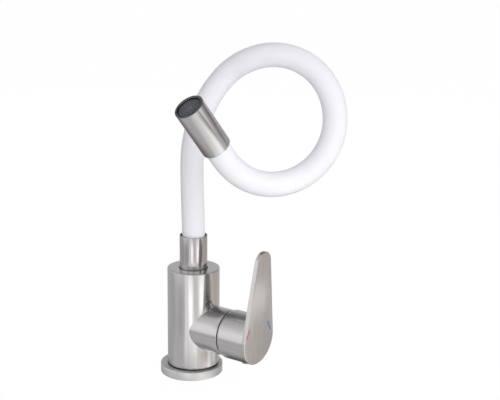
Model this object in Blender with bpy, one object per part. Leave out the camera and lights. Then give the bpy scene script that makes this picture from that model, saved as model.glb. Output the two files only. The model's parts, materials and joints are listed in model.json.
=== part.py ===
"""Flexible kitchen faucet: a steel single-lever mixer with a bendable silicone neck.

Metres, +Z up. The origin is on the body's axis, on the sink deck.
+X points along the side branch, out of the lever. The neck is bent into one
open turn, held up by a gooseneck core inside its silicone sleeve.
"""
import math

import bmesh
import bpy
import numpy as np
from mathutils import Matrix, Vector

# Clearances
SEAT_GAP = 0.0003
SEAL_GAP = 0.00015
CUT_OVERRUN = 0.001
WELD = 0.000001

# Base ring, which lies loose on the deck round the foot of the body
RING_RADIUS = 0.0270
RING_HEIGHT = 0.0076
RING_CHAMFER = 0.0006
RING_PLAY = 0.0021
RING_SHIFT = 0.0017
GASKET_INNER_RADIUS = 0.0217
GASKET_WIDTH = 0.0020
GASKET_DEPTH = 0.0014

# Body, a turned bar with a side branch for the cartridge
BODY_RADIUS = 0.0225
BODY_TOP = 0.0941
BODY_EDGE = 0.0004
FOOT_UNDERCUT = 0.0009
SPIGOT_RADIUS = 0.0185
SPIGOT_CLEARANCE = 0.0012
BRANCH_RADIUS = 0.0198
BRANCH_WALL = 0.0020
BRANCH_HEIGHT = 0.0427
BRANCH_REACH = 0.0392
BRANCH_EDGE = 0.0004
CARTRIDGE_DEPTH = 0.0287

# Water ways in the body
PORT_CIRCLE = 0.0090
PORT_RADIUS = 0.00275
INLET_RADIUS = 0.0029
INLET_SOCKET_RADIUS = 0.0045
INLET_SOCKET_DEPTH = 0.0120
OUTLET_RADIUS = 0.0029
STUD_HOLE_RADIUS = 0.0034
STUD_HOLE_DEPTH = 0.0180
STUD_HOLE_OFFSET = 0.0120

# Ceramic cartridge, from its seat outwards
PORT_SEAL_THICKNESS = 0.0010
PORT_SEAL_RADIUS = 0.0135
BASE_THICKNESS = 0.0040
DISC_THICKNESS = 0.0030
MOVING_DISC_RADIUS = 0.0125
MOVING_DISC_THICKNESS = 0.0025
MIXING_TOP = 0.0006
MIXING_TOP_WIDTH = 0.0160
MIXING_FOOT = 0.0106
MIXING_FOOT_WIDTH = 0.0070
CARRIER_THICKNESS = 0.0030
CARRIER_RADIUS = 0.0120
HOUSING_WALL = 0.0015
HOUSING_FRONT = 0.0040
TURRET_FLANGE_RADIUS = 0.0155
TURRET_FLANGE_THICKNESS = 0.0034
TURRET_NECK_RADIUS = 0.0120
TURRET_PROUD = 0.0028
NUT_THICKNESS = 0.0044
NUT_NOTCH_WIDTH = 0.0040
NUT_NOTCH_DEPTH = 0.0016

# Lever spindle and its pin
SPINDLE_SIDE = 0.0066
SPINDLE_REACH = 0.0280
SPINDLE_HUB_RADIUS = 0.0040
SPINDLE_TAIL_RADIUS = 0.0017
SPINDLE_BALL_RADIUS = 0.0023
SPINDLE_ARM = 0.0075
PIN_RADIUS = 0.0015
LIFT_LIMIT = math.radians(25)

# Lever: a hollow cap over the branch end, and a leaf-shaped paddle
CAP_RADIUS = 0.0209
CAP_WALL = 0.0010
CAP_GAP = 0.0012
CAP_EDGE_WIDTH = 0.0006
CAP_EDGE_LENGTH = 0.0018
LEVER_REACH = 0.0302
PADDLE_THICKNESS = 0.0034
PADDLE_TILT = math.radians(3.7)
PADDLE_HEEL_RADIUS = 0.0211
PADDLE_TIP_RADIUS = 0.0100
PADDLE_LENGTH = 0.0688
PADDLE_EDGE = 0.0005
BOSS_RADIUS = 0.0075
BOSS_LENGTH = 0.0150
SCREW_RADIUS = 0.0025
SCREW_LENGTH = 0.0045
SCREW_SOCKET_RADIUS = 0.0013
SCREW_SOCKET_DEPTH = 0.0022
SCREW_PLACE_SHARE = 0.45
PLUG_HEAD_RADIUS = 0.0036
PLUG_HEAD_HEIGHT = 0.0019
PLUG_EDGE = 0.0006
PLUG_STEM_LENGTH = 0.0022

# Swivel of the spout in the top of the body
COLLAR_RADIUS = 0.0119
COLLAR_WALL = 0.0008
COLLAR_TOP = 0.1232
COLLAR_PLAY = 0.0005
COLLAR_LIP = 0.0013
COLLAR_EDGE = 0.0003
SOCKET_RADIUS = 0.0100
SOCKET_FLOOR = 0.0660
COUNTERBORE_DEPTH = 0.0096
STUB_PLAY = 0.0004
STUB_LENGTH = 0.0181
SHOULDER_THICKNESS = 0.0019
SLIP_RING_THICKNESS = 0.0010
STUB_THREAD_RADIUS = 0.0052
STUB_SPIGOT_RADIUS = 0.0034
STUB_SPIGOT_LENGTH = 0.0113
STUB_BORE_RADIUS = 0.0024
GROOVE_DEPTH = 0.0013
GROOVE_WIDTH = 0.0022
GROOVE_STEP = 0.0045
SNAP_RING_WIDTH = 0.0012
SNAP_RING_DEPTH = 0.0018
SNAP_RING_SLOT = 0.0040
LOCK_NUT_HEIGHT = 0.0026
LOCK_NUT_FLATS = 0.0130

# Neck: water tube, gooseneck core and silicone sleeve on one route
SLEEVE_RADIUS = 0.0098
SLEEVE_BORE = 0.0074
CORE_WALL = 0.0014
TUBE_WALL = 0.0015
NECK_HEADING = math.radians(38)
NECK_RISE = 0.1117
TURN_RADIUS = 0.0464
TURN_PITCH = 0.1180
TURN_SIDE_SHARE = 1.40
TURN_FRONT_SHARE = 0.567
TURN_START = math.radians(140)
TURN_END = math.radians(-151)
NOZZLE_RUN = 0.0144
NOZZLE_HEADING = math.radians(121.4)
NOZZLE_FORWARD = math.radians(24.1)
NECK_RINGS = 48
# How much wider or tighter than a true circle the turn runs, from its start to its end
TURN_SWELL_SHARES = (-0.009, -0.028, -0.022, -0.006, 0.008, 0.016, 0.012, 0.008,
                     0.006, 0.001, 0.0, 0.0, 0.0, 0.0, 0.0, 0.015)
# Side, front and height: the first two as shares of the turn's radius,
# the height as a share of the rise above the collar's top.
RISE_ROUTE_SHARES = (
    (-0.017, 0.0, 0.285),
    (-0.026, 0.0, 0.473),
    (-0.013, 0.005, 0.656),
    (0.088, 0.038, 0.868),
    (0.285, 0.108, 1.068),
)

# Nozzle and aerator, measured along the nozzle's axis from its rear rim
NOZZLE_RADIUS = 0.01155
NOZZLE_WALL = 0.00075
NOZZLE_LIP_WALL = 0.0015
NOZZLE_LIP_DEPTH = 0.0024
NOZZLE_REAR_LIP = 0.0012
NOZZLE_LENGTH = 0.0427
NOZZLE_EDGE = 0.0003
FITTING_CORE_LENGTH = 0.0097
FITTING_SPIGOT_SHARE = 5 / 7
WASHER_THICKNESS = 0.0014
WASHER_HOLE_RADIUS = 0.0050
REGULATOR_THICKNESS = 0.0070
AERATOR_RADIUS = 0.0089
AERATOR_WALL = 0.0007
AERATOR_LENGTH = 0.0086
AERATOR_RECESS = 0.0008
GRILLE_THICKNESS = 0.0016
GRILLE_RECESS = 0.0005
GRILLE_RINGS = 5
GRILLE_RIDGE_SHARE = 0.45
GRILLE_GROOVE_SHARE = 0.5

# Facets round each kind of piece
BODY_SIDES = 64
PIECE_SIDES = 40
INNER_SIDES = 28
SMALL_SIDES = 20
SEAL_SIDES = 8
SLEEVE_SIDES = 16
CORE_SIDES = 12
SMOOTH_ANGLE = math.radians(35)

# Places along the branch's axis, worked out from the sizes above
CARTRIDGE_SEAT = BRANCH_REACH - CARTRIDGE_DEPTH
PORT_SEAL_BACK = CARTRIDGE_SEAT + SEAT_GAP
BASE_BACK = PORT_SEAL_BACK + PORT_SEAL_THICKNESS + SEAT_GAP
FIXED_DISC_BACK = BASE_BACK + BASE_THICKNESS + SEAT_GAP
MOVING_DISC_BACK = FIXED_DISC_BACK + DISC_THICKNESS + SEAT_GAP
CARRIER_BACK = MOVING_DISC_BACK + MOVING_DISC_THICKNESS + SEAT_GAP
TURRET_BACK = CARRIER_BACK + CARRIER_THICKNESS + SEAT_GAP
HOUSING_SHOULDER = TURRET_BACK + TURRET_FLANGE_THICKNESS + SEAT_GAP
HOUSING_END = HOUSING_SHOULDER + HOUSING_FRONT
NUT_BACK = HOUSING_END + SEAT_GAP
TURRET_END = BRANCH_REACH + TURRET_PROUD
BALL_PLACE = CARRIER_BACK + SEAT_GAP + SPINDLE_BALL_RADIUS
PIVOT_PLACE = BALL_PLACE + SPINDLE_ARM
CARTRIDGE_RADIUS = BRANCH_RADIUS - BRANCH_WALL - SEAT_GAP
CAP_BACK = BRANCH_REACH + CAP_GAP
CAP_BORE = CAP_RADIUS - CAP_WALL
PADDLE_FACE = BRANCH_REACH + LEVER_REACH
CAP_FLOOR = PADDLE_FACE - PADDLE_THICKNESS - CAP_RADIUS * math.tan(PADDLE_TILT)
BOSS_BACK = CAP_FLOOR - BOSS_LENGTH
SCREW_PLACE = BOSS_BACK + BOSS_LENGTH * SCREW_PLACE_SHARE

# Heights on the spout's axis
BODY_FOOT = RING_HEIGHT + SEAT_GAP
COUNTERBORE_FLOOR = BODY_TOP - COUNTERBORE_DEPTH
SLIP_RING_BASE = COUNTERBORE_FLOOR + SEAT_GAP
SHOULDER_BASE = SLIP_RING_BASE + SLIP_RING_THICKNESS + SEAT_GAP
SHOULDER_TOP = SHOULDER_BASE + SHOULDER_THICKNESS
COLLAR_BASE = SHOULDER_TOP + SEAT_GAP
LOCK_NUT_BASE = COLLAR_BASE + COLLAR_LIP + SEAT_GAP
NECK_BASE = LOCK_NUT_BASE + LOCK_NUT_HEIGHT + SEAT_GAP
STUB_FOOT = SHOULDER_BASE - STUB_LENGTH
PLUG_RADIUS = SOCKET_RADIUS - STUB_PLAY
COUNTERBORE_RADIUS = COLLAR_RADIUS + COLLAR_PLAY
SHOULDER_RADIUS = COLLAR_RADIUS - SEAT_GAP
CORE_RADIUS = SLEEVE_BORE - SEAT_GAP
CORE_BORE = CORE_RADIUS - CORE_WALL
TUBE_RADIUS = CORE_BORE - SEAT_GAP
TUBE_BORE = TUBE_RADIUS - TUBE_WALL

# Places along the nozzle's axis, counted back from its mouth
AERATOR_BACK = NOZZLE_LENGTH - AERATOR_RECESS - AERATOR_LENGTH
REGULATOR_BACK = AERATOR_BACK - SEAT_GAP - REGULATOR_THICKNESS
WASHER_BACK = REGULATOR_BACK - SEAT_GAP - WASHER_THICKNESS
CHAMBER_BACK = WASHER_BACK - SEAT_GAP
CHAMBER_RADIUS = AERATOR_RADIUS + SEAT_GAP
FITTING_BACK = CHAMBER_BACK - FITTING_CORE_LENGTH
NECK_IN_NOZZLE = FITTING_BACK - SEAT_GAP
FITTING_SPIGOT_LENGTH = NECK_IN_NOZZLE * FITTING_SPIGOT_SHARE
FITTING_END = NOZZLE_LENGTH - NOZZLE_LIP_DEPTH - SEAT_GAP
FITTING_RADIUS = NOZZLE_RADIUS - NOZZLE_WALL - SEAT_GAP


def clear_scene():
    """Remove what the file opens with."""
    for thing in list(bpy.data.objects):
        bpy.data.objects.remove(thing, do_unlink=True)


def make_material(name, colour, roughness, metallic):
    """One plain Principled material."""
    material = bpy.data.materials.new(name)
    material.use_nodes = True
    shader = material.node_tree.nodes["Principled BSDF"]
    shader.inputs["Base Color"].default_value = (*colour, 1.0)
    shader.inputs["Roughness"].default_value = roughness
    shader.inputs["Metallic"].default_value = metallic
    return material


def brushed_steel(name):
    return make_material(name, (0.62, 0.60, 0.58), 0.30, 1.0)


def plain_brass(name):
    return make_material(name, (0.72, 0.56, 0.30), 0.35, 1.0)


def black_rubber(name):
    return make_material(name, (0.03, 0.03, 0.03), 0.75, 0.0)


def grey_plastic(name):
    return make_material(name, (0.30, 0.31, 0.33), 0.50, 0.0)


def white_plastic(name):
    return make_material(name, (0.80, 0.80, 0.78), 0.45, 0.0)


def white_ceramic(name):
    return make_material(name, (0.88, 0.87, 0.84), 0.12, 0.0)


def white_silicone(name):
    return make_material(name, (0.86, 0.86, 0.89), 0.55, 0.0)


def finish(piece, look, parent):
    """Give a piece its material, smooth its round faces and hang it on its parent."""
    piece.data.materials.clear()
    piece.data.materials.append(look(piece.name + "_look"))
    piece.data.shade_smooth()
    piece.data.set_sharp_from_angle(angle=SMOOTH_ANGLE)
    piece.parent = parent
    return piece


def add_object(name, mesh_builder):
    """Turn a bmesh into an object with outward faces."""
    bmesh.ops.remove_doubles(mesh_builder, verts=mesh_builder.verts, dist=WELD)
    bmesh.ops.recalc_face_normals(mesh_builder, faces=mesh_builder.faces)
    mesh = bpy.data.meshes.new(name)
    mesh_builder.to_mesh(mesh)
    mesh_builder.free()
    piece = bpy.data.objects.new(name, mesh)
    bpy.context.scene.collection.objects.link(piece)
    return piece


def add_pivot(name, place, parent=None):
    """An empty on a joint's axis."""
    pivot = bpy.data.objects.new(name, None)
    bpy.context.scene.collection.objects.link(pivot)
    pivot.parent = parent
    pivot.location = place
    return pivot


def turned(name, profile, sides, turn=None):
    """Spin a profile of (radius, height) points round the Z axis.

    A profile that starts or ends off the axis is closed into a ring.
    """
    builder = bmesh.new()
    verts = [builder.verts.new((radius, 0, height)) for radius, height in profile]
    edges = [builder.edges.new(pair) for pair in zip(verts, verts[1:])]
    if profile[0][0] > 0 or profile[-1][0] > 0:
        edges.append(builder.edges.new((verts[-1], verts[0])))
    bmesh.ops.spin(builder, geom=verts + edges, cent=(0, 0, 0), axis=(0, 0, 1),
                   angle=math.tau, steps=sides, use_merge=True)
    if turn is not None:
        bmesh.ops.transform(builder, matrix=turn, verts=builder.verts)
    return add_object(name, builder)


def rod_profile(radius, low, high, edge=0):
    """A solid rod's outline, with chamfers of one size at both ends."""
    if edge == 0:
        return [(0, low), (radius, low), (radius, high), (0, high)]
    return [(0, low), (radius - edge, low), (radius, low + edge),
            (radius, high - edge), (radius - edge, high), (0, high)]


def ring_profile(outer, inner, low, high):
    """A plain ring's section."""
    return [(inner, low), (outer, low), (outer, high), (inner, high)]


def extruded(name, outline, low, high, turn=None):
    """Pull a flat outline of (x, y) points up from one height to another."""
    builder = bmesh.new()
    face = builder.faces.new([builder.verts.new((x, y, low)) for x, y in outline])
    grown = bmesh.ops.extrude_face_region(builder, geom=[face])
    tops = [item for item in grown["geom"] if isinstance(item, bmesh.types.BMVert)]
    bmesh.ops.translate(builder, verts=tops, vec=(0, 0, high - low))
    if turn is not None:
        bmesh.ops.transform(builder, matrix=turn, verts=builder.verts)
    return add_object(name, builder)


def combine(piece, tool, operation):
    """Union, cut or intersect a piece with a tool, which is used up."""
    step = piece.modifiers.new("combine", "BOOLEAN")
    step.operation = operation
    step.object = tool
    step.solver = "EXACT"
    bpy.context.view_layer.update()
    shape = piece.evaluated_get(bpy.context.evaluated_depsgraph_get())
    mesh = bpy.data.meshes.new_from_object(shape)
    piece.modifiers.clear()
    piece.data = mesh
    mesh.name = piece.name
    bpy.data.objects.remove(tool, do_unlink=True)
    return piece


def cut(piece, tool):
    return combine(piece, tool, "DIFFERENCE")


def unite(piece, tool):
    return combine(piece, tool, "UNION")


def half_step(sides):
    """Turn a round shape by half a facet, so that its long edges meet faces and not other edges."""
    return Matrix.Rotation(math.pi / sides, 4, "Z")


def along_x(x=0, y=0, z=0):
    """Turn a shape made along Z to lie along X, with its height towards +X."""
    return Matrix.Translation((x, y, z)) @ Matrix.Rotation(math.pi / 2, 4, "Y")


def along_y(x=0, y=0, z=0):
    """Turn a shape made along Z to lie along Y."""
    return Matrix.Translation((x, y, z)) @ Matrix.Rotation(-math.pi / 2, 4, "X")


def neck_point(side, front, height):
    """A place in the neck's own frame: to the side and front of the body's axis."""
    c, s = math.cos(NECK_HEADING), math.sin(NECK_HEADING)
    return Vector((side * c + front * s, side * s - front * c, height))


def turn_point(angle, swell_share):
    """A place on the neck's open turn, a helix that advances to the front."""
    reach = TURN_RADIUS * (1 + swell_share)
    side = TURN_RADIUS * TURN_SIDE_SHARE + reach * math.cos(angle)
    front = TURN_RADIUS * TURN_FRONT_SHARE + TURN_PITCH * (math.pi / 2 - angle) / math.tau
    return neck_point(side, front, COLLAR_TOP + NECK_RISE + reach * math.sin(angle))


def nozzle_direction():
    """The way the nozzle points: a heading in the neck's plane, and a lean to the front."""
    level = math.cos(NOZZLE_FORWARD)
    return neck_point(level * math.cos(NOZZLE_HEADING), math.sin(NOZZLE_FORWARD),
                      level * math.sin(NOZZLE_HEADING))


NOZZLE_WAY = nozzle_direction()
NOZZLE_REAR = turn_point(TURN_END, TURN_SWELL_SHARES[-1]) + NOZZLE_WAY * NOZZLE_RUN


def neck_route():
    """The points that the neck's curve goes through, from its foot into the nozzle."""
    middle = (NECK_BASE + COLLAR_TOP) / 2
    points = [Vector((0, 0, height)) for height in (NECK_BASE, middle, COLLAR_TOP)]
    for side, front, rise in RISE_ROUTE_SHARES:
        points.append(neck_point(side * TURN_RADIUS, front * TURN_RADIUS,
                                 COLLAR_TOP + rise * NECK_RISE))
    for angle, swell_share in zip(np.linspace(TURN_START, TURN_END, len(TURN_SWELL_SHARES)),
                                  TURN_SWELL_SHARES):
        points.append(turn_point(angle, swell_share))
    for depth in (0, NECK_IN_NOZZLE / 2, NECK_IN_NOZZLE):
        points.append(NOZZLE_REAR + NOZZLE_WAY * depth)
    return np.array(points)


def smooth_curve(points, count):
    """Even samples of the natural cubic spline through the points."""
    chord = np.linalg.norm(np.diff(points, axis=0), axis=1)
    place = np.concatenate([[0], np.cumsum(chord)])
    total = len(points)
    system = np.eye(total)
    pull = np.zeros((total, 3))
    for i in range(1, total - 1):
        before, after = chord[i - 1], chord[i]
        system[i, i - 1:i + 2] = (before, 2 * (before + after), after)
        pull[i] = 6 * ((points[i + 1] - points[i]) / after - (points[i] - points[i - 1]) / before)
    bend = np.linalg.solve(system, pull)
    samples = []
    for where in np.linspace(0, place[-1], count):
        i = min(int(np.searchsorted(place, where, side="right")) - 1, total - 2)
        span = chord[i]
        a, b = (place[i + 1] - where) / span, (where - place[i]) / span
        lift = ((a ** 3 - a) * bend[i] + (b ** 3 - b) * bend[i + 1]) * span ** 2 / 6
        samples.append(a * points[i] + b * points[i + 1] + lift)
    return np.array(samples)


def carried_frames(points):
    """A direction and two sideways vectors at each point, carried along without twist."""
    ways = np.gradient(points, axis=0)
    ways[0] = (0, 0, 1)
    ways[-1] = NOZZLE_WAY
    ways /= np.linalg.norm(ways, axis=1)[:, None]
    side = Vector((1, 0, 0))
    frames = []
    for way in ways:
        way = Vector(way)
        side = (side - way * side.dot(way)).normalized()
        frames.append((side, way.cross(side)))
    return frames


def neck_tube(name, outer, bore, sides):
    """A hollow tube along the neck's route."""
    points = smooth_curve(neck_route(), NECK_RINGS)
    builder = bmesh.new()
    sections = []
    for point, (across, up) in zip(points, carried_frames(points)):
        section = []
        for radius in (outer, bore):
            for k in range(sides):
                turn = math.tau * k / sides
                offset = across * math.cos(turn) + up * math.sin(turn)
                section.append(builder.verts.new(Vector(point) + radius * offset))
        sections.append(section)
    for low, high in zip(sections, sections[1:]):
        for k in range(sides):
            n = (k + 1) % sides
            builder.faces.new((low[k], low[n], high[n], high[k]))
            builder.faces.new((low[sides + n], low[sides + k], high[sides + k], high[sides + n]))
    for section in (sections[0], sections[-1]):
        for k in range(sides):
            n = (k + 1) % sides
            builder.faces.new((section[k], section[n], section[sides + n], section[sides + k]))
    return add_object(name, builder)


def ring_offset():
    """How far the loose base ring lies off the body's axis, away from the neck's turn."""
    return -neck_point(RING_SHIFT, 0, 0)


def base_ring(parent):
    bore = SPIGOT_RADIUS + RING_PLAY
    groove_in, groove_out = GASKET_INNER_RADIUS - SEAT_GAP, GASKET_INNER_RADIUS + GASKET_WIDTH + SEAT_GAP
    groove_top = GASKET_DEPTH + SEAT_GAP
    profile = [(bore, 0), (groove_in, 0), (groove_in, groove_top), (groove_out, groove_top),
               (groove_out, 0), (RING_RADIUS, 0), (RING_RADIUS, RING_HEIGHT - RING_CHAMFER),
               (RING_RADIUS - RING_CHAMFER, RING_HEIGHT), (bore, RING_HEIGHT)]
    piece = turned("base_ring", profile, BODY_SIDES)
    piece.location = ring_offset()
    return finish(piece, brushed_steel, parent)


def base_gasket(parent):
    outer = GASKET_INNER_RADIUS + GASKET_WIDTH
    piece = turned("base_gasket", ring_profile(outer, GASKET_INNER_RADIUS, 0, GASKET_DEPTH), BODY_SIDES)
    piece.location = ring_offset()
    return finish(piece, black_rubber, parent)


def port_places():
    """The outlet below the cartridge's axis, and the hot and cold inlets above it."""
    climb = PORT_CIRCLE / 2
    aside = PORT_CIRCLE * math.sqrt(3) / 2
    return ((0, -PORT_CIRCLE), (aside, climb), (-aside, climb))


def body_bar():
    """The body's turned outside, with its spigot and the undercut over the ring."""
    profile = [(0, SPIGOT_CLEARANCE), (SPIGOT_RADIUS, SPIGOT_CLEARANCE), (SPIGOT_RADIUS, BODY_FOOT),
               (BODY_RADIUS - FOOT_UNDERCUT, BODY_FOOT), (BODY_RADIUS, BODY_FOOT + FOOT_UNDERCUT),
               (BODY_RADIUS, BODY_TOP - BODY_EDGE), (BODY_RADIUS - BODY_EDGE, BODY_TOP), (0, BODY_TOP)]
    return turned("faucet_body", profile, BODY_SIDES)


def body_socket():
    """The stepped bore for the spout's swivel, with the snap ring's groove."""
    groove = snap_groove_base()
    groove_radius = SOCKET_RADIUS + SNAP_RING_DEPTH / 2
    outlet_end = BRANCH_HEIGHT - PORT_CIRCLE - OUTLET_RADIUS
    profile = [(0, outlet_end), (OUTLET_RADIUS, outlet_end), (OUTLET_RADIUS, SOCKET_FLOOR),
               (SOCKET_RADIUS, SOCKET_FLOOR), (SOCKET_RADIUS, groove - SEAT_GAP),
               (groove_radius, groove - SEAT_GAP),
               (groove_radius, groove + SNAP_RING_WIDTH + SEAT_GAP),
               (SOCKET_RADIUS, groove + SNAP_RING_WIDTH + SEAT_GAP),
               (SOCKET_RADIUS, COUNTERBORE_FLOOR), (COUNTERBORE_RADIUS, COUNTERBORE_FLOOR),
               (COUNTERBORE_RADIUS, BODY_TOP + CUT_OVERRUN), (0, BODY_TOP + CUT_OVERRUN)]
    return turned("socket_cutter", profile, INNER_SIDES)


def faucet_body(parent):
    body = body_bar()
    branch = rod_profile(BRANCH_RADIUS, 0, BRANCH_REACH - BRANCH_EDGE)
    branch[-1:] = [(BRANCH_RADIUS - BRANCH_EDGE, BRANCH_REACH), (0, BRANCH_REACH)]
    branch_place = along_x(z=BRANCH_HEIGHT) @ half_step(BODY_SIDES)
    unite(body, turned("branch", branch, BODY_SIDES, branch_place))
    bore = rod_profile(BRANCH_RADIUS - BRANCH_WALL, CARTRIDGE_SEAT, BRANCH_REACH + CUT_OVERRUN)
    cut(body, turned("branch_cutter", bore, BODY_SIDES, branch_place))
    cut(body, body_socket())
    for y, z in port_places():
        port = rod_profile(PORT_RADIUS, 0, CARTRIDGE_SEAT + CUT_OVERRUN)
        place = along_x(0, y, BRANCH_HEIGHT + z) @ half_step(SMALL_SIDES)
        cut(body, turned("port_cutter", port, SMALL_SIDES, place))
    foot = SPIGOT_CLEARANCE - CUT_OVERRUN
    socket_end = SPIGOT_CLEARANCE + INLET_SOCKET_DEPTH
    for y, z in port_places()[1:]:
        inlet = [(0, foot), (INLET_SOCKET_RADIUS, foot), (INLET_SOCKET_RADIUS, socket_end),
                 (INLET_RADIUS, socket_end), (INLET_RADIUS, BRANCH_HEIGHT + z + INLET_RADIUS),
                 (0, BRANCH_HEIGHT + z + INLET_RADIUS)]
        place = Matrix.Translation((0, y, 0)) @ half_step(SMALL_SIDES)
        cut(body, turned("inlet_cutter", inlet, SMALL_SIDES, place))
    hole = rod_profile(STUD_HOLE_RADIUS, foot, SPIGOT_CLEARANCE + STUD_HOLE_DEPTH)
    place = Matrix.Translation((-STUD_HOLE_OFFSET, 0, 0)) @ half_step(SMALL_SIDES)
    cut(body, turned("stud_cutter", hole, SMALL_SIDES, place))
    return finish(body, brushed_steel, parent)


def drill_ports(piece, low, high):
    """The cartridge's three water holes."""
    for y, z in port_places():
        hole = rod_profile(PORT_RADIUS, low - CUT_OVERRUN, high + CUT_OVERRUN)
        cut(piece, turned("hole_cutter", hole, SMALL_SIDES, along_x(0, y, z)))


def branch_disc(name, radius, back, thickness, look, parent, ported=True):
    """A flat round piece of the cartridge, on the branch's axis."""
    piece = turned(name, rod_profile(radius, back, back + thickness), INNER_SIDES, along_x())
    if ported:
        drill_ports(piece, back, back + thickness)
    return finish(piece, look, parent)


def moving_disc(parent):
    """The sliding disc, hollowed where hot and cold water meet."""
    back = MOVING_DISC_BACK
    piece = turned("moving_ceramic_disc",
                   rod_profile(MOVING_DISC_RADIUS, back, back + MOVING_DISC_THICKNESS),
                   INNER_SIDES, along_x())
    wide, narrow = MIXING_TOP_WIDTH / 2, MIXING_FOOT_WIDTH / 2
    outline = [(-MIXING_TOP, -wide), (-MIXING_TOP, wide), (MIXING_FOOT, narrow), (MIXING_FOOT, -narrow)]
    floor = back + MOVING_DISC_THICKNESS / 2
    cut(piece, extruded("hollow_cutter", outline, back - CUT_OVERRUN, floor, along_x()))
    return finish(piece, white_ceramic, parent)


def disc_carrier(parent):
    """The plastic plate that takes the spindle's ball and drags the disc."""
    back = CARRIER_BACK
    piece = turned("disc_carrier", rod_profile(CARRIER_RADIUS, back, back + CARRIER_THICKNESS),
                   INNER_SIDES, along_x())
    hole = rod_profile(SPINDLE_BALL_RADIUS + STUB_PLAY, back - CUT_OVERRUN,
                       back + CARRIER_THICKNESS + CUT_OVERRUN)
    cut(piece, turned("ball_cutter", hole, SMALL_SIDES, along_x()))
    return finish(piece, white_plastic, parent)


def cartridge_housing(parent):
    """The cup that holds discs and turret, open for the turret's neck."""
    inner = CARTRIDGE_RADIUS - HOUSING_WALL
    mouth = TURRET_NECK_RADIUS + SEAT_GAP
    back = FIXED_DISC_BACK
    profile = [(inner, back), (CARTRIDGE_RADIUS, back), (CARTRIDGE_RADIUS, HOUSING_END),
               (mouth, HOUSING_END), (mouth, HOUSING_SHOULDER), (inner, HOUSING_SHOULDER)]
    piece = turned("cartridge_housing", profile, INNER_SIDES, along_x())
    return finish(piece, grey_plastic, parent)


def retaining_nut(parent):
    """The brass ring that is screwed into the branch and holds the cartridge down."""
    inner = TURRET_NECK_RADIUS + 2 * SEAT_GAP
    front = NUT_BACK + NUT_THICKNESS
    piece = turned("cartridge_nut", ring_profile(CARTRIDGE_RADIUS, inner, NUT_BACK, front),
                   INNER_SIDES, along_x())
    half = NUT_NOTCH_WIDTH / 2
    reach = CARTRIDGE_RADIUS + CUT_OVERRUN
    for outline in ([(-half, -reach), (half, -reach), (half, reach), (-half, reach)],
                    [(-reach, -half), (reach, -half), (reach, half), (-reach, half)]):
        cut(piece, extruded("notch_cutter", outline, front - NUT_NOTCH_DEPTH,
                            front + CUT_OVERRUN, along_x()))
    return finish(piece, plain_brass, parent)


def swing_outline():
    """The slot in which the spindle swings, seen from the side, round the pin."""
    half = SPINDLE_SIDE / 2 + SEAT_GAP
    hub = SPINDLE_HUB_RADIUS + SEAT_GAP
    tail = SPINDLE_BALL_RADIUS + SEAT_GAP
    front = TURRET_END - PIVOT_PLACE + CUT_OVERRUN
    back = PIVOT_PLACE - TURRET_BACK + CUT_OVERRUN
    dip = front * math.tan(LIFT_LIMIT) + half / math.cos(LIFT_LIMIT)
    climb = back * math.tan(LIFT_LIMIT) + tail / math.cos(LIFT_LIMIT)
    return [(front, half), (0, hub), (-back, climb), (-back, -tail), (0, -hub), (front, -dip)]


def cartridge_turret(parent):
    """The turning head: it carries the pin, and its slot lets the spindle swing."""
    profile = [(0, TURRET_BACK), (TURRET_FLANGE_RADIUS, TURRET_BACK),
               (TURRET_FLANGE_RADIUS, HOUSING_SHOULDER - SEAT_GAP),
               (TURRET_NECK_RADIUS, HOUSING_SHOULDER - SEAT_GAP),
               (TURRET_NECK_RADIUS, TURRET_END), (0, TURRET_END)]
    piece = turned("cartridge_turret", profile, INNER_SIDES, along_x())
    half = SPINDLE_SIDE / 2 + SEAT_GAP
    slot_turn = Matrix.Translation((PIVOT_PLACE, 0, 0)) @ Matrix.Rotation(math.pi / 2, 4, "X")
    cut(piece, extruded("slot_cutter", swing_outline(), -half, half, slot_turn))
    pin_hole = rod_profile(PIN_RADIUS + SEAL_GAP, -TURRET_NECK_RADIUS - CUT_OVERRUN,
                           TURRET_NECK_RADIUS + CUT_OVERRUN)
    cut(piece, turned("pin_cutter", pin_hole, SMALL_SIDES, along_y(PIVOT_PLACE)))
    return finish(piece, grey_plastic, parent)


def pivot_pin(parent):
    reach = TURRET_NECK_RADIUS - SEAT_GAP
    piece = turned("pivot_pin", rod_profile(PIN_RADIUS, -reach, reach), SMALL_SIDES,
                   along_y(PIVOT_PLACE))
    return finish(piece, brushed_steel, parent)


def ball_profile(radius, centre, steps=6):
    """Half a circle, as a turned outline along the axis."""
    points = []
    for k in range(steps + 1):
        angle = -math.pi / 2 + math.pi * k / steps
        points.append((radius * math.cos(angle), centre + radius * math.sin(angle)))
    points[0] = (0, centre - radius)
    points[-1] = (0, centre + radius)
    return points


def lever_spindle(parent):
    """The square spindle with its hub round the pin and its ball in the carrier."""
    half = SPINDLE_SIDE / 2
    cheek = half - SEAT_GAP
    hub = turned("lever_spindle", rod_profile(SPINDLE_HUB_RADIUS, -cheek, cheek), SMALL_SIDES, along_y())
    square = [(-half, -half), (half, -half), (half, half), (-half, half)]
    unite(hub, extruded("spindle_bar", square, 0, SPINDLE_REACH, along_x()))
    tail = rod_profile(SPINDLE_TAIL_RADIUS, -SPINDLE_ARM, half)
    unite(hub, turned("spindle_tail", tail, SMALL_SIDES, along_x() @ half_step(SMALL_SIDES)))
    unite(hub, turned("spindle_ball", ball_profile(SPINDLE_BALL_RADIUS, 0), SMALL_SIDES,
                      along_x(-SPINDLE_ARM)))
    hole = rod_profile(PIN_RADIUS + SEAT_GAP, -half - CUT_OVERRUN, half + CUT_OVERRUN)
    cut(hub, turned("pin_cutter", hole, SMALL_SIDES, along_y() @ half_step(SMALL_SIDES)))
    return finish(hub, plain_brass, parent)


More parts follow.
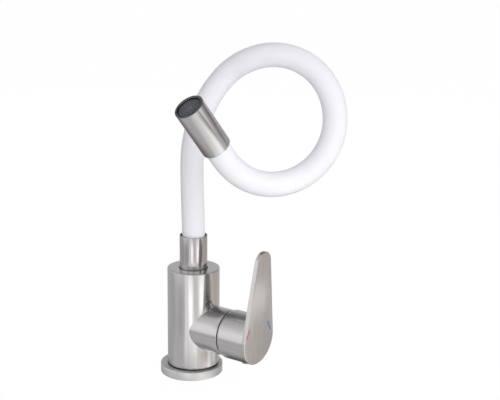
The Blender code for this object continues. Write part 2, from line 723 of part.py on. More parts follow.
def paddle_outline(inset=0, arc_steps=20):
    """A leaf: a wide round heel and a small round tip, joined by straight flanks.

    Points are (height, width) round the heel's centre.
    """
    heel, tip = PADDLE_HEEL_RADIUS - inset, PADDLE_TIP_RADIUS - inset
    lean = math.asin((PADDLE_HEEL_RADIUS - PADDLE_TIP_RADIUS) / PADDLE_LENGTH)
    points = []
    for radius, centre, start, sweep in ((tip, PADDLE_LENGTH, math.pi / 2 - lean, -math.pi + 2 * lean),
                                         (heel, 0, -math.pi / 2 + lean, -math.pi - 2 * lean)):
        for k in range(arc_steps + 1):
            angle = start + sweep * k / arc_steps
            points.append((centre + radius * math.cos(angle), radius * math.sin(angle)))
    return points


def paddle():
    """The paddle with softened edges, made flat with its face at height zero."""
    builder = bmesh.new()
    levels = ((0, PADDLE_EDGE), (-PADDLE_EDGE, 0),
              (PADDLE_EDGE - PADDLE_THICKNESS, 0), (-PADDLE_THICKNESS, PADDLE_EDGE))
    rings = []
    for height, inset in levels:
        rings.append([builder.verts.new((x, y, height)) for x, y in paddle_outline(inset)])
    for upper, lower in zip(rings, rings[1:]):
        count = len(upper)
        for k in range(count):
            n = (k + 1) % count
            builder.faces.new((upper[k], upper[n], lower[n], lower[k]))
    builder.faces.new(rings[0])
    builder.faces.new(rings[-1])
    lean = Matrix.Rotation(PADDLE_TILT, 4, "Y")
    face_up = Matrix(((0, 0, 1, 0), (0, 1, 0, 0), (1, 0, 0, 0), (0, 0, 0, 1)))
    place = Matrix.Translation((PADDLE_FACE - PIVOT_PLACE, 0, 0)) @ lean @ face_up
    bmesh.ops.transform(builder, matrix=place, verts=builder.verts)
    return add_object("paddle", builder)


def lever_handle(parent):
    """Cap, paddle and the boss that takes the spindle, as one welded piece."""
    back, floor = CAP_BACK - PIVOT_PLACE, CAP_FLOOR - PIVOT_PLACE
    end = PADDLE_FACE - PIVOT_PLACE - PADDLE_THICKNESS / 2
    profile = [(0, end), (CAP_RADIUS, end), (CAP_RADIUS, back + CAP_EDGE_LENGTH),
               (CAP_RADIUS - CAP_EDGE_WIDTH, back), (CAP_BORE, back), (CAP_BORE, floor), (0, floor)]
    handle = turned("lever_handle", profile, BODY_SIDES, along_x())
    unite(handle, paddle())
    boss_back = BOSS_BACK - PIVOT_PLACE
    unite(handle, turned("boss", rod_profile(BOSS_RADIUS, boss_back, floor + PADDLE_EDGE),
                         PIECE_SIDES, along_x()))
    half = SPINDLE_SIDE / 2 + SEAT_GAP
    square = [(-half, -half), (half, -half), (half, half), (-half, half)]
    cut(handle, extruded("spindle_cutter", square, boss_back - CUT_OVERRUN,
                         SPINDLE_REACH + SEAT_GAP, along_x()))
    place = Matrix.Translation((SCREW_PLACE - PIVOT_PLACE, 0, 0))
    hole = rod_profile(SCREW_RADIUS + SEAT_GAP, -CAP_RADIUS - CUT_OVERRUN, 0)
    cut(handle, turned("screw_cutter", hole, SMALL_SIDES, place))
    return finish(handle, brushed_steel, parent)


def grub_screw(parent):
    """The hexagon-socket screw that clamps the lever on its spindle, from below."""
    top = -SPINDLE_SIDE / 2 - SEAT_GAP
    low = top - SCREW_LENGTH
    place = Matrix.Translation((SCREW_PLACE - PIVOT_PLACE, 0, 0))
    piece = turned("lever_grub_screw", rod_profile(SCREW_RADIUS, low, top), SMALL_SIDES, place)
    socket = rod_profile(SCREW_SOCKET_RADIUS, low - CUT_OVERRUN, low + SCREW_SOCKET_DEPTH)
    cut(piece, turned("socket_cutter", socket, 6, place))
    return finish(piece, brushed_steel, parent)


def screw_plug(parent):
    """The plastic button that covers the grub screw's hole, under the cap."""
    top = -CAP_RADIUS - SEAT_GAP
    low = top - PLUG_HEAD_HEIGHT
    profile = [(0, low), (PLUG_HEAD_RADIUS - PLUG_EDGE, low), (PLUG_HEAD_RADIUS, low + PLUG_EDGE),
               (PLUG_HEAD_RADIUS, top), (SCREW_RADIUS, top), (SCREW_RADIUS, top + PLUG_STEM_LENGTH),
               (0, top + PLUG_STEM_LENGTH)]
    piece = turned("lever_screw_plug", profile, INNER_SIDES,
                   Matrix.Translation((SCREW_PLACE - PIVOT_PLACE, 0, 0)))
    return finish(piece, grey_plastic, parent)


def groove_base(index):
    """The foot of one of the stub's two seal grooves."""
    return STUB_FOOT + GROOVE_WIDTH + index * GROOVE_STEP


def snap_groove_base():
    return groove_base(2)


def swivel_stub(parent):
    """The brass stub that turns in the body and carries the neck."""
    deep = PLUG_RADIUS - GROOVE_DEPTH
    profile = [(STUB_BORE_RADIUS, STUB_FOOT), (PLUG_RADIUS, STUB_FOOT)]
    for index in range(2):
        low = groove_base(index)
        profile += [(PLUG_RADIUS, low), (deep, low), (deep, low + GROOVE_WIDTH),
                    (PLUG_RADIUS, low + GROOVE_WIDTH)]
    low, high = snap_groove_base() - SEAT_GAP, snap_groove_base() + SNAP_RING_WIDTH + SEAT_GAP
    profile += [(PLUG_RADIUS, low), (deep, low), (deep, high), (PLUG_RADIUS, high)]
    spigot_base = NECK_BASE - SEAT_GAP
    profile += [(PLUG_RADIUS, SHOULDER_BASE), (SHOULDER_RADIUS, SHOULDER_BASE),
                (SHOULDER_RADIUS, SHOULDER_TOP), (STUB_THREAD_RADIUS, SHOULDER_TOP),
                (STUB_THREAD_RADIUS, spigot_base), (STUB_SPIGOT_RADIUS, spigot_base),
                (STUB_SPIGOT_RADIUS, spigot_base + STUB_SPIGOT_LENGTH),
                (STUB_BORE_RADIUS, spigot_base + STUB_SPIGOT_LENGTH)]
    piece = turned("swivel_stub", profile, INNER_SIDES)
    return finish(piece, plain_brass, parent)


def swivel_seal(name, index, parent):
    """A rubber ring of round section in one of the stub's grooves."""
    deep = PLUG_RADIUS - GROOVE_DEPTH
    section = (SOCKET_RADIUS - deep) / 2 - SEAL_GAP
    middle = (SOCKET_RADIUS + deep) / 2
    height = groove_base(index) + GROOVE_WIDTH / 2
    profile = []
    for k in range(SEAL_SIDES):
        angle = math.tau * (k + 1 / 2) / SEAL_SIDES
        profile.append((middle + section * math.cos(angle), height + section * math.sin(angle)))
    return finish(turned(name, profile, INNER_SIDES), black_rubber, parent)


def snap_ring(parent):
    """The split plastic ring that keeps the stub in the body."""
    low = snap_groove_base()
    outer = SOCKET_RADIUS + SNAP_RING_DEPTH / 2 - SEAT_GAP
    inner = PLUG_RADIUS - GROOVE_DEPTH + SEAT_GAP
    piece = turned("swivel_snap_ring", ring_profile(outer, inner, low, low + SNAP_RING_WIDTH),
                   INNER_SIDES)
    half = SNAP_RING_SLOT / 2
    outline = [(-outer - CUT_OVERRUN, -half), (0, -half), (0, half), (-outer - CUT_OVERRUN, half)]
    cut(piece, extruded("split_cutter", outline, low - CUT_OVERRUN,
                        low + SNAP_RING_WIDTH + CUT_OVERRUN))
    return finish(piece, white_plastic, parent)


def slip_ring(parent):
    """The flat plastic ring on which the stub's shoulder turns."""
    high = SLIP_RING_BASE + SLIP_RING_THICKNESS
    profile = ring_profile(SHOULDER_RADIUS, PLUG_RADIUS + SEAT_GAP, SLIP_RING_BASE, high)
    return finish(turned("swivel_slip_ring", profile, INNER_SIDES), white_plastic, parent)


def spout_collar(parent):
    """The thin steel tube that the neck rises from, with the lip that holds it."""
    bore = COLLAR_RADIUS - COLLAR_WALL
    lip_bore = STUB_THREAD_RADIUS + SEAT_GAP
    profile = [(lip_bore, COLLAR_BASE), (COLLAR_RADIUS, COLLAR_BASE),
               (COLLAR_RADIUS, COLLAR_TOP - COLLAR_EDGE), (COLLAR_RADIUS - COLLAR_EDGE, COLLAR_TOP),
               (bore, COLLAR_TOP), (bore, COLLAR_BASE + COLLAR_LIP), (lip_bore, COLLAR_BASE + COLLAR_LIP)]
    return finish(turned("spout_collar", profile, PIECE_SIDES), brushed_steel, parent)


def lock_nut(parent):
    """The hexagon nut that clamps the collar's lip on the stub."""
    corner = LOCK_NUT_FLATS / math.sqrt(3)
    high = LOCK_NUT_BASE + LOCK_NUT_HEIGHT
    piece = turned("neck_lock_nut", rod_profile(corner, LOCK_NUT_BASE, high), 6)
    hole = rod_profile(STUB_THREAD_RADIUS + SEAT_GAP, LOCK_NUT_BASE - CUT_OVERRUN, high + CUT_OVERRUN)
    cut(piece, turned("nut_cutter", hole, INNER_SIDES))
    return finish(piece, plain_brass, parent)


def place_on_nozzle(piece):
    """Stand a piece that was turned round Z on the nozzle's axis, from its rear rim."""
    piece.rotation_mode = "QUATERNION"
    piece.rotation_quaternion = NOZZLE_WAY.to_track_quat("Z", "Y")
    piece.location = NOZZLE_REAR
    return piece


def nozzle_sleeve(parent):
    bore, mouth = NOZZLE_RADIUS - NOZZLE_WALL, NOZZLE_RADIUS - NOZZLE_LIP_WALL
    entry = SLEEVE_RADIUS + 2 * SEAT_GAP
    lip = NOZZLE_LENGTH - NOZZLE_LIP_DEPTH
    profile = [(entry, 0), (NOZZLE_RADIUS - NOZZLE_EDGE, 0), (NOZZLE_RADIUS, NOZZLE_EDGE),
               (NOZZLE_RADIUS, NOZZLE_LENGTH - NOZZLE_EDGE),
               (NOZZLE_RADIUS - NOZZLE_EDGE, NOZZLE_LENGTH), (mouth, NOZZLE_LENGTH),
               (mouth, lip), (bore, lip), (bore, NOZZLE_REAR_LIP), (entry, NOZZLE_REAR_LIP)]
    piece = turned("nozzle_sleeve", profile, PIECE_SIDES)
    return finish(place_on_nozzle(piece), brushed_steel, parent)


def nozzle_fitting(parent):
    """The plastic core that joins the water tube to the aerator's chamber."""
    profile = [(STUB_BORE_RADIUS, FITTING_BACK - FITTING_SPIGOT_LENGTH),
               (STUB_SPIGOT_RADIUS, FITTING_BACK - FITTING_SPIGOT_LENGTH),
               (STUB_SPIGOT_RADIUS, FITTING_BACK), (FITTING_RADIUS, FITTING_BACK),
               (FITTING_RADIUS, FITTING_END), (CHAMBER_RADIUS, FITTING_END),
               (CHAMBER_RADIUS, CHAMBER_BACK), (STUB_BORE_RADIUS, CHAMBER_BACK)]
    piece = turned("nozzle_fitting", profile, INNER_SIDES)
    return finish(place_on_nozzle(piece), grey_plastic, parent)


def aerator_washer(parent):
    outer = CHAMBER_RADIUS - SEAT_GAP
    profile = ring_profile(outer, WASHER_HOLE_RADIUS, WASHER_BACK, WASHER_BACK + WASHER_THICKNESS)
    piece = turned("aerator_washer", profile, INNER_SIDES)
    return finish(place_on_nozzle(piece), black_rubber, parent)


def aerator_regulator(parent):
    """The flow regulator, with a ring of jets drilled through it."""
    high = REGULATOR_BACK + REGULATOR_THICKNESS
    piece = turned("aerator_regulator",
                   rod_profile(CHAMBER_RADIUS - SEAT_GAP, REGULATOR_BACK, high), INNER_SIDES)
    jets = 6
    for k in range(jets):
        angle = math.tau * k / jets
        place = Matrix.Translation((WASHER_HOLE_RADIUS * math.cos(angle) / 2,
                                    WASHER_HOLE_RADIUS * math.sin(angle) / 2, 0))
        jet = rod_profile(WASHER_HOLE_RADIUS / jets, REGULATOR_BACK - CUT_OVERRUN, high + CUT_OVERRUN)
        cut(piece, turned("jet_cutter", jet, SEAL_SIDES, place))
    return finish(place_on_nozzle(piece), white_plastic, parent)


def aerator_housing(parent):
    """The dark ring that is screwed into the nozzle round the grille."""
    bore = AERATOR_RADIUS - AERATOR_WALL
    high = AERATOR_BACK + AERATOR_LENGTH
    profile = ring_profile(AERATOR_RADIUS, bore, AERATOR_BACK, high)
    piece = turned("aerator_housing", profile, PIECE_SIDES)
    return finish(place_on_nozzle(piece), black_rubber, parent)


def aerator_grille(parent):
    """The outlet grille: concentric ridges, turned from one profile."""
    radius = AERATOR_RADIUS - AERATOR_WALL - SEAL_GAP
    face = AERATOR_BACK + AERATOR_LENGTH - GRILLE_RECESS
    back = face - GRILLE_THICKNESS
    valley = face - GRILLE_THICKNESS * GRILLE_GROOVE_SHARE
    pitch = radius / (GRILLE_RINGS + GRILLE_RIDGE_SHARE)
    profile = [(0, back), (radius, back), (radius, face)]
    for k in range(GRILLE_RINGS, 0, -1):
        outer = pitch * k
        profile += [(outer, face), (outer, valley),
                    (outer - pitch * (1 - GRILLE_RIDGE_SHARE), valley),
                    (outer - pitch * (1 - GRILLE_RIDGE_SHARE), face)]
    profile.append((0, face))
    piece = turned("aerator_grille", profile, PIECE_SIDES)
    return finish(place_on_nozzle(piece), grey_plastic, parent)


def build_base():
    base_ring(None)
    base_gasket(None)
    faucet_body(None)


def build_cartridge():
    """Fixed pieces on the branch, and the turning ones under their pivots."""
    branch = add_pivot("branch_axis", (0, 0, BRANCH_HEIGHT))
    turret = add_pivot("turret_pivot", (0, 0, BRANCH_HEIGHT))
    lever = add_pivot("lever_pivot", (PIVOT_PLACE, 0, 0), turret)
    branch_disc("cartridge_port_seal", PORT_SEAL_RADIUS, PORT_SEAL_BACK, PORT_SEAL_THICKNESS,
                black_rubber, branch)
    branch_disc("cartridge_base", CARTRIDGE_RADIUS, BASE_BACK, BASE_THICKNESS, grey_plastic, branch)
    branch_disc("fixed_ceramic_disc", CARTRIDGE_RADIUS - HOUSING_WALL - SEAT_GAP, FIXED_DISC_BACK,
                DISC_THICKNESS, white_ceramic, branch)
    cartridge_housing(branch)
    retaining_nut(branch)
    moving_disc(turret)
    disc_carrier(turret)
    cartridge_turret(turret)
    pivot_pin(turret)
    lever_spindle(lever)
    lever_handle(lever)
    grub_screw(lever)
    screw_plug(lever)


def build_spout():
    """The swivel, the neck and the nozzle, all turning on the body's axis."""
    spout = add_pivot("spout_pivot", (0, 0, 0))
    swivel_stub(spout)
    swivel_seal("swivel_seal_lower", 0, spout)
    swivel_seal("swivel_seal_upper", 1, spout)
    snap_ring(spout)
    slip_ring(spout)
    spout_collar(spout)
    lock_nut(spout)
    finish(neck_tube("neck_sleeve", SLEEVE_RADIUS, SLEEVE_BORE, SLEEVE_SIDES), white_silicone, spout)
    finish(neck_tube("gooseneck_core", CORE_RADIUS, CORE_BORE, CORE_SIDES), brushed_steel, spout)
    finish(neck_tube("water_tube", TUBE_RADIUS, TUBE_BORE, CORE_SIDES), white_plastic, spout)
    nozzle_sleeve(spout)
    nozzle_fitting(spout)
    aerator_washer(spout)
    aerator_regulator(spout)
    aerator_housing(spout)
    aerator_grille(spout)


clear_scene()
build_base()
build_cartridge()
build_spout()
bpy.context.view_layer.update()
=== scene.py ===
"""Looks of the flexible kitchen faucet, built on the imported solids."""

import json
import math

import bmesh
import bpy
import numpy as np
from mathutils import Matrix, Vector


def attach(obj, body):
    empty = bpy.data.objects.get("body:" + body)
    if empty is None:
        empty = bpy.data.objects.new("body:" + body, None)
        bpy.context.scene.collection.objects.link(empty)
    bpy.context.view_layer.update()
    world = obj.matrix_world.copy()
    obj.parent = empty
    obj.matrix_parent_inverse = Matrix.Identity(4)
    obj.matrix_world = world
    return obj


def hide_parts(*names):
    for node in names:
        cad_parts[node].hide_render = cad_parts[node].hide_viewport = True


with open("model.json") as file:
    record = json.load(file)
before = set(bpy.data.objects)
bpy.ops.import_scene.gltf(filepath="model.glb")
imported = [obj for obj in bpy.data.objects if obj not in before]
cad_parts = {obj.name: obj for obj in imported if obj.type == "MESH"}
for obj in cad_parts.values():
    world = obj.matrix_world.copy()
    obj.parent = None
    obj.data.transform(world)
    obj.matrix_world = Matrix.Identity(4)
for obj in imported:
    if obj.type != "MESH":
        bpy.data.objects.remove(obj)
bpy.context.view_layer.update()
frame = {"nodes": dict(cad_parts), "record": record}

# Sizes, in metres, as in the solids
RING_RADIUS, RING_BORE, RING_HEIGHT, RING_SHIFT = 0.0270, 0.0206, 0.0076, 0.0017
GASKET_IN, GASKET_OUT, GASKET_TOP = 0.0214, 0.0240, 0.0017
BODY_RADIUS, BODY_TOP, BODY_FOOT = 0.0225, 0.0941, 0.0079
SPIGOT_RADIUS, SPIGOT_FOOT, UNDERCUT = 0.0185, 0.0012, 0.0009
BRANCH_RADIUS, BRANCH_BORE, BRANCH_Z, BRANCH_REACH = 0.0198, 0.0178, 0.0427, 0.0392
CARTRIDGE_SEAT, COUNTERBORE, COUNTERBORE_Z = 0.0105, 0.0124, 0.0845
SOCKET_RADIUS, SOCKET_FLOOR = 0.0100, 0.0660
HOSE_SIDE, HOSE_RADIUS, HOSE_DEPTH = 0.00779, 0.0045, 0.012
STUD_BACK, STUD_RADIUS, STUD_DEPTH = 0.012, 0.0034, 0.018
FILLET = 0.0007
COLLAR_RADIUS, COLLAR_WALL, COLLAR_BASE, COLLAR_TOP = 0.0119, 0.0008, 0.0883, 0.1232
COLLAR_SEAT, COLLAR_FLOOR = 0.0055, 0.0013
CAP_RADIUS, CAP_BORE, CAP_BACK = 0.0209, 0.0199, 0.0404
CAP_FLOOR, SCREW_PLACE, SCREW_RADIUS = 0.06465, 0.0564, 0.0028
BOSS_RADIUS, BOSS_LENGTH, BOSS_CHAMFER = 0.0075, 0.0150, 0.0004
SEAT_WIDTH, SEAT_LENGTH, SEAT_MIDDLE = 0.0072, 0.0115, 0.0052
PLUG_RADIUS, PLUG_STEM, PLUG_HEAD = 0.0036, 0.0025, 0.0019
PADDLE_FACE, PADDLE_THICKNESS, PADDLE_TILT = 0.0694, 0.0034, math.radians(3.7)
HEEL_RADIUS, TIP_RADIUS, PADDLE_LENGTH = 0.0211, 0.0100, 0.0688
MARK_WIDTH = 0.0010
SLEEVE_RADIUS, SLEEVE_BORE = 0.0098, 0.0074
NECK_HEADING, NECK_BASE, NECK_RISE = math.radians(38), 0.0928, 0.1117
TURN_RADIUS, TURN_PITCH = 0.0464, 0.1180
TURN_SIDE, TURN_FRONT = 1.40, 0.567
TURN_START, TURN_END = math.radians(140), math.radians(-151)
# How much wider the turn is than its radius, at even steps
TURN_SWELL = (-0.009, -0.028, -0.022, -0.006, 0.008, 0.016, 0.012, 0.008,
              0.006, 0.001, 0.0, 0.0, 0.0, 0.0, 0.0, 0.015)
# The riser's places: to the side and front as shares of the turn's radius, up as one of the rise
RISE_ROUTE = ((-0.017, 0.0, 0.285), (-0.026, 0.0, 0.473), (-0.013, 0.005, 0.656),
              (0.088, 0.038, 0.868), (0.285, 0.108, 1.068))
NOZZLE_RUN, NECK_IN_NOZZLE = 0.0144, 0.0140
NOZZLE_HEADING, NOZZLE_FORWARD = math.radians(121.4), math.radians(24.1)
NOZZLE_RADIUS, NOZZLE_LENGTH = 0.01155, 0.0427
NOZZLE_WALL, MOUTH_WALL, MOUTH_DEPTH, ENTRY_DEPTH = 0.00075, 0.0018, 0.0024, 0.0012
AERATOR_RADIUS, AERATOR_BORE, AERATOR_LENGTH, AERATOR_SUNK = 0.0089, 0.0082, 0.0086, 0.0008
GRILLE_RADIUS, GRILLE_RINGS, GRILLE_SUNK, GRILLE_GROOVE = 0.00805, 4, 0.0013, 0.0008

# Lengths that the texture coordinates run over
BODY_GIRTH, BRANCH_GIRTH, NECK_GIRTH, NECK_RUN = 0.14, 0.12, 0.065, 0.45


def new_object(name, bm, smooth=40):
    """A mesh object from a bmesh, smooth but for its sharp edges."""
    bmesh.ops.recalc_face_normals(bm, faces=bm.faces)
    mesh = bpy.data.meshes.new(name)
    bm.to_mesh(mesh)
    bm.free()
    mesh.shade_smooth()
    mesh.set_sharp_from_angle(angle=math.radians(smooth))
    piece = bpy.data.objects.new(name, mesh)
    bpy.context.scene.collection.objects.link(piece)
    return piece


def rounded(profile, radii, steps=4):
    """Round the corners of an outline of (radius, height) points."""
    points = []
    count = len(profile)
    for i, point in enumerate(profile):
        r = radii[i] if i < len(radii) else 0
        if r <= 0:
            points.append(tuple(point))
            continue
        p = Vector(point)
        a = (Vector(profile[i - 1]) - p).normalized()
        b = (Vector(profile[(i + 1) % count]) - p).normalized()
        half = a.angle(b) / 2
        back = r / math.tan(half)
        centre = p + (a + b).normalized() * (r / math.sin(half))
        start, end = p + a * back - centre, p + b * back - centre
        turn = start.angle(end)
        for k in range(steps + 1):
            t = k / steps
            spot = (start * math.sin((1 - t) * turn) + end * math.sin(t * turn)) / math.sin(turn)
            points.append(tuple(centre + spot))
    return points


def lathe(name, profile, sides=128, turn=None, smooth=40):
    """Turn a closed outline of (radius, height) points round Z, with its UV along the outline.

    An outline that starts and ends on the axis stays open there. Turn is where the result goes.
    """
    bm = bmesh.new()
    uv = bm.loops.layers.uv.new("turned")
    lengths = [0.0]
    loop = list(profile) + [profile[0]]
    for a, b in zip(loop, loop[1:]):
        lengths.append(lengths[-1] + math.dist(a, b))
    rings = []
    for r, z in profile:
        if r < 1e-9:
            rings.append([bm.verts.new((0, 0, z))] * sides)
            continue
        angles = [math.tau * k / sides for k in range(sides)]
        rings.append([bm.verts.new((r * math.cos(a), r * math.sin(a), z)) for a in angles])
    open_ends = profile[0][0] < 1e-9 and profile[-1][0] < 1e-9
    spans = len(profile) - 1 if open_ends else len(profile)
    for i in range(spans):
        low, high = rings[i], rings[(i + 1) % len(rings)]
        for k in range(sides):
            n = (k + 1) % sides
            corners = [(low[k], i, k), (low[n], i, k + 1),
                       (high[n], i + 1, k + 1), (high[k], i + 1, k)]
            seen, kept = set(), []
            for corner in corners:
                if corner[0] not in seen:
                    seen.add(corner[0])
                    kept.append(corner)
            if len(kept) < 3:
                continue
            face = bm.faces.new([c[0] for c in kept])
            for item, (_, where, step) in zip(face.loops, kept):
                item[uv].uv = (lengths[where], step / sides * BODY_GIRTH)
    if turn is not None:
        bmesh.ops.transform(bm, matrix=turn, verts=bm.verts)
    return new_object(name, bm, smooth=smooth)


ALONG_BRANCH = Matrix.Translation((0, 0, BRANCH_Z)) @ Matrix.Rotation(math.pi / 2, 4, "Y")


def loft(bm, rings):
    """Join closed rings of points to one another, in their order, and close both ends."""
    for low, high in zip(rings, rings[1:]):
        for k in range(len(low)):
            n = (k + 1) % len(low)
            bm.faces.new((low[k], low[n], high[n], high[k]))
    bm.faces.new(rings[0])
    bm.faces.new(rings[-1])


def sharpen(piece, angle=30):
    """Smooth a piece but for its sharp edges."""
    piece.data.shade_smooth()
    piece.data.set_sharp_from_angle(angle=math.radians(angle))
    return piece


def cut(piece, tool):
    """Take a tool's shape out of a piece. The tool itself goes."""
    step = piece.modifiers.new("cut", "BOOLEAN")
    step.operation = "DIFFERENCE"
    step.object = tool
    step.solver = "EXACT"
    bpy.context.view_layer.update()
    shape = piece.evaluated_get(bpy.context.evaluated_depsgraph_get())
    mesh = bpy.data.meshes.new_from_object(shape)
    piece.modifiers.clear()
    piece.data = mesh
    bpy.data.objects.remove(tool, do_unlink=True)
    return piece


def dress(piece, body, look, slot, *nodes):
    """Give a piece its body, finish and the solids it stands for."""
    piece.data.materials.clear()
    piece.data.materials.append(look)
    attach(piece, body)
    if nodes:
        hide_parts(*nodes)
    return piece


# Neck

def neck_point(side, front, height):
    """A place from how far it is to the neck's side, to its front and up."""
    c, s = math.cos(NECK_HEADING), math.sin(NECK_HEADING)
    return Vector((side * c + front * s, side * s - front * c, height))


def turn_point(angle, swell):
    """A place on the neck's turn, which swells or shrinks by a share of its radius."""
    reach = TURN_RADIUS * (1 + swell)
    side = TURN_RADIUS * TURN_SIDE + reach * math.cos(angle)
    front = TURN_RADIUS * TURN_FRONT + TURN_PITCH * (math.pi / 2 - angle) / math.tau
    return neck_point(side, front, COLLAR_TOP + NECK_RISE + reach * math.sin(angle))


LEVEL = math.cos(NOZZLE_FORWARD)
NOZZLE_WAY = neck_point(LEVEL * math.cos(NOZZLE_HEADING), math.sin(NOZZLE_FORWARD),
                        LEVEL * math.sin(NOZZLE_HEADING))
NOZZLE_REAR = turn_point(TURN_END, TURN_SWELL[-1]) + NOZZLE_WAY * NOZZLE_RUN
NOZZLE_TURN = NOZZLE_WAY.to_track_quat("Z", "Y").to_matrix().to_4x4()
NOZZLE_FRAME = Matrix.Translation(NOZZLE_REAR) @ NOZZLE_TURN


def neck_route():
    """The places that the neck's middle line runs through: collar, riser, turn, nozzle."""
    points = [Vector((0, 0, z)) for z in (NECK_BASE, (NECK_BASE + COLLAR_TOP) / 2, COLLAR_TOP)]
    for side, front, rise in RISE_ROUTE:
        points.append(neck_point(side * TURN_RADIUS, front * TURN_RADIUS,
                                 COLLAR_TOP + rise * NECK_RISE))
    for angle, swell in zip(np.linspace(TURN_START, TURN_END, len(TURN_SWELL)), TURN_SWELL):
        points.append(turn_point(angle, swell))
    for depth in (0, NECK_IN_NOZZLE / 2, NECK_IN_NOZZLE):
        points.append(NOZZLE_REAR + NOZZLE_WAY * depth)
    return np.array(points)


def smooth_curve(points, count):
    """Even samples of the natural cubic spline through some points."""
    chord = np.linalg.norm(np.diff(points, axis=0), axis=1)
    place = np.concatenate([[0], np.cumsum(chord)])
    total = len(points)
    system, pull = np.eye(total), np.zeros((total, 3))
    for i in range(1, total - 1):
        before, after = chord[i - 1], chord[i]
        system[i, i - 1:i + 2] = (before, 2 * (before + after), after)
        pull[i] = 6 * ((points[i + 1] - points[i]) / after - (points[i] - points[i - 1]) / before)
    bend = np.linalg.solve(system, pull)
    samples = []
    for where in np.linspace(0, place[-1], count):
        i = min(int(np.searchsorted(place, where, side="right")) - 1, total - 2)
        span = chord[i]
        a, b = (place[i + 1] - where) / span, (where - place[i]) / span
        samples.append(a * points[i] + b * points[i + 1]
                       + ((a ** 3 - a) * bend[i] + (b ** 3 - b) * bend[i + 1]) * span ** 2 / 6)
    return np.array(samples)


def neck_sleeve():
    """The silicone sleeve: a smooth hollow tube, open at both ends."""
    rings, sides = 220, 56
    points = smooth_curve(neck_route(), rings)
    ways = np.gradient(points, axis=0)
    ways /= np.linalg.norm(ways, axis=1)[:, None]
    bm = bmesh.new()
    uv = bm.loops.layers.uv.new("turned")
    side = Vector((1, 0, 0))
    sections = []
    for point, way in zip(points, ways):
        way = Vector(way)
        side = (side - way * side.dot(way)).normalized()
        up = way.cross(side)
        ring = []
        for radius in (SLEEVE_RADIUS, SLEEVE_BORE):
            for k in range(sides):
                a = math.tau * k / sides
                out = side * math.cos(a) + up * math.sin(a)
                ring.append(bm.verts.new(Vector(point) + radius * out))
        sections.append(ring)
    step = NECK_RUN / rings
    for i, (low, high) in enumerate(zip(sections, sections[1:])):
        for k in range(sides):
            n = (k + 1) % sides
            for quad in ((low[k], low[n], high[n], high[k]),
                         (low[sides + n], low[sides + k], high[sides + k], high[sides + n])):
                face = bm.faces.new(quad)
                corners = ((i, k), (i, k + 1), (i + 1, k + 1), (i + 1, k))
                for item, (u, v) in zip(face.loops, corners):
                    item[uv].uv = (u * step, v / sides * NECK_GIRTH)
    for ring in (sections[0], sections[-1]):
        for k in range(sides):
            n = (k + 1) % sides
            bm.faces.new((ring[k], ring[n], ring[sides + n], ring[sides + k]))
    return new_object("neck_sleeve_look", bm)


# Base and body

def base_ring():
    """The ring under the body, with the gasket's groove in its underside."""
    step = 0.0003
    profile = [(RING_BORE, step), (GASKET_IN, step), (GASKET_IN, GASKET_TOP),
               (GASKET_OUT, GASKET_TOP), (GASKET_OUT, 0), (RING_RADIUS, 0),
               (RING_RADIUS, RING_HEIGHT), (RING_BORE, RING_HEIGHT)]
    profile = rounded(profile, (0, 0, 0, 0, 0, 0.0002, 0.0007, 0.0004))
    shift = -neck_point(RING_SHIFT, 0, 0)
    return lathe("base_ring_look", profile, 160, Matrix.Translation(shift), 30)


def body_bar():
    """The turned bar, without the branch's bore and the sockets for hoses and stud."""
    profile = [(0, SPIGOT_FOOT), (SPIGOT_RADIUS, SPIGOT_FOOT), (SPIGOT_RADIUS, BODY_FOOT),
               (BODY_RADIUS - UNDERCUT, BODY_FOOT), (BODY_RADIUS, BODY_FOOT + UNDERCUT),
               (BODY_RADIUS, BODY_TOP), (COUNTERBORE, BODY_TOP), (COUNTERBORE, COUNTERBORE_Z),
               (SOCKET_RADIUS, COUNTERBORE_Z), (SOCKET_RADIUS, SOCKET_FLOOR),
               (0, SOCKET_FLOOR)]
    profile = rounded(profile, (0, 0.0003, 0, 0, 0.0003, 0.0005, 0.0003))
    bar = lathe("body_bar", profile, 160, None, 30)
    bore = [(0, CARTRIDGE_SEAT), (BRANCH_BORE, CARTRIDGE_SEAT),
            (BRANCH_BORE, BRANCH_REACH), (0, BRANCH_REACH)]
    cut(bar, lathe("bore", bore, 96, ALONG_BRANCH))
    clear = -0.001
    for x, y, r, depth in ((0, HOSE_SIDE, HOSE_RADIUS, HOSE_DEPTH),
                           (0, -HOSE_SIDE, HOSE_RADIUS, HOSE_DEPTH),
                           (-STUD_BACK, 0, STUD_RADIUS, STUD_DEPTH)):
        top = SPIGOT_FOOT + depth
        hole = [(0, clear), (r, clear), (r, top), (0, top)]
        cut(bar, lathe("hole", hole, 40, Matrix.Translation((x, y, 0))))
    return sharpen(bar)


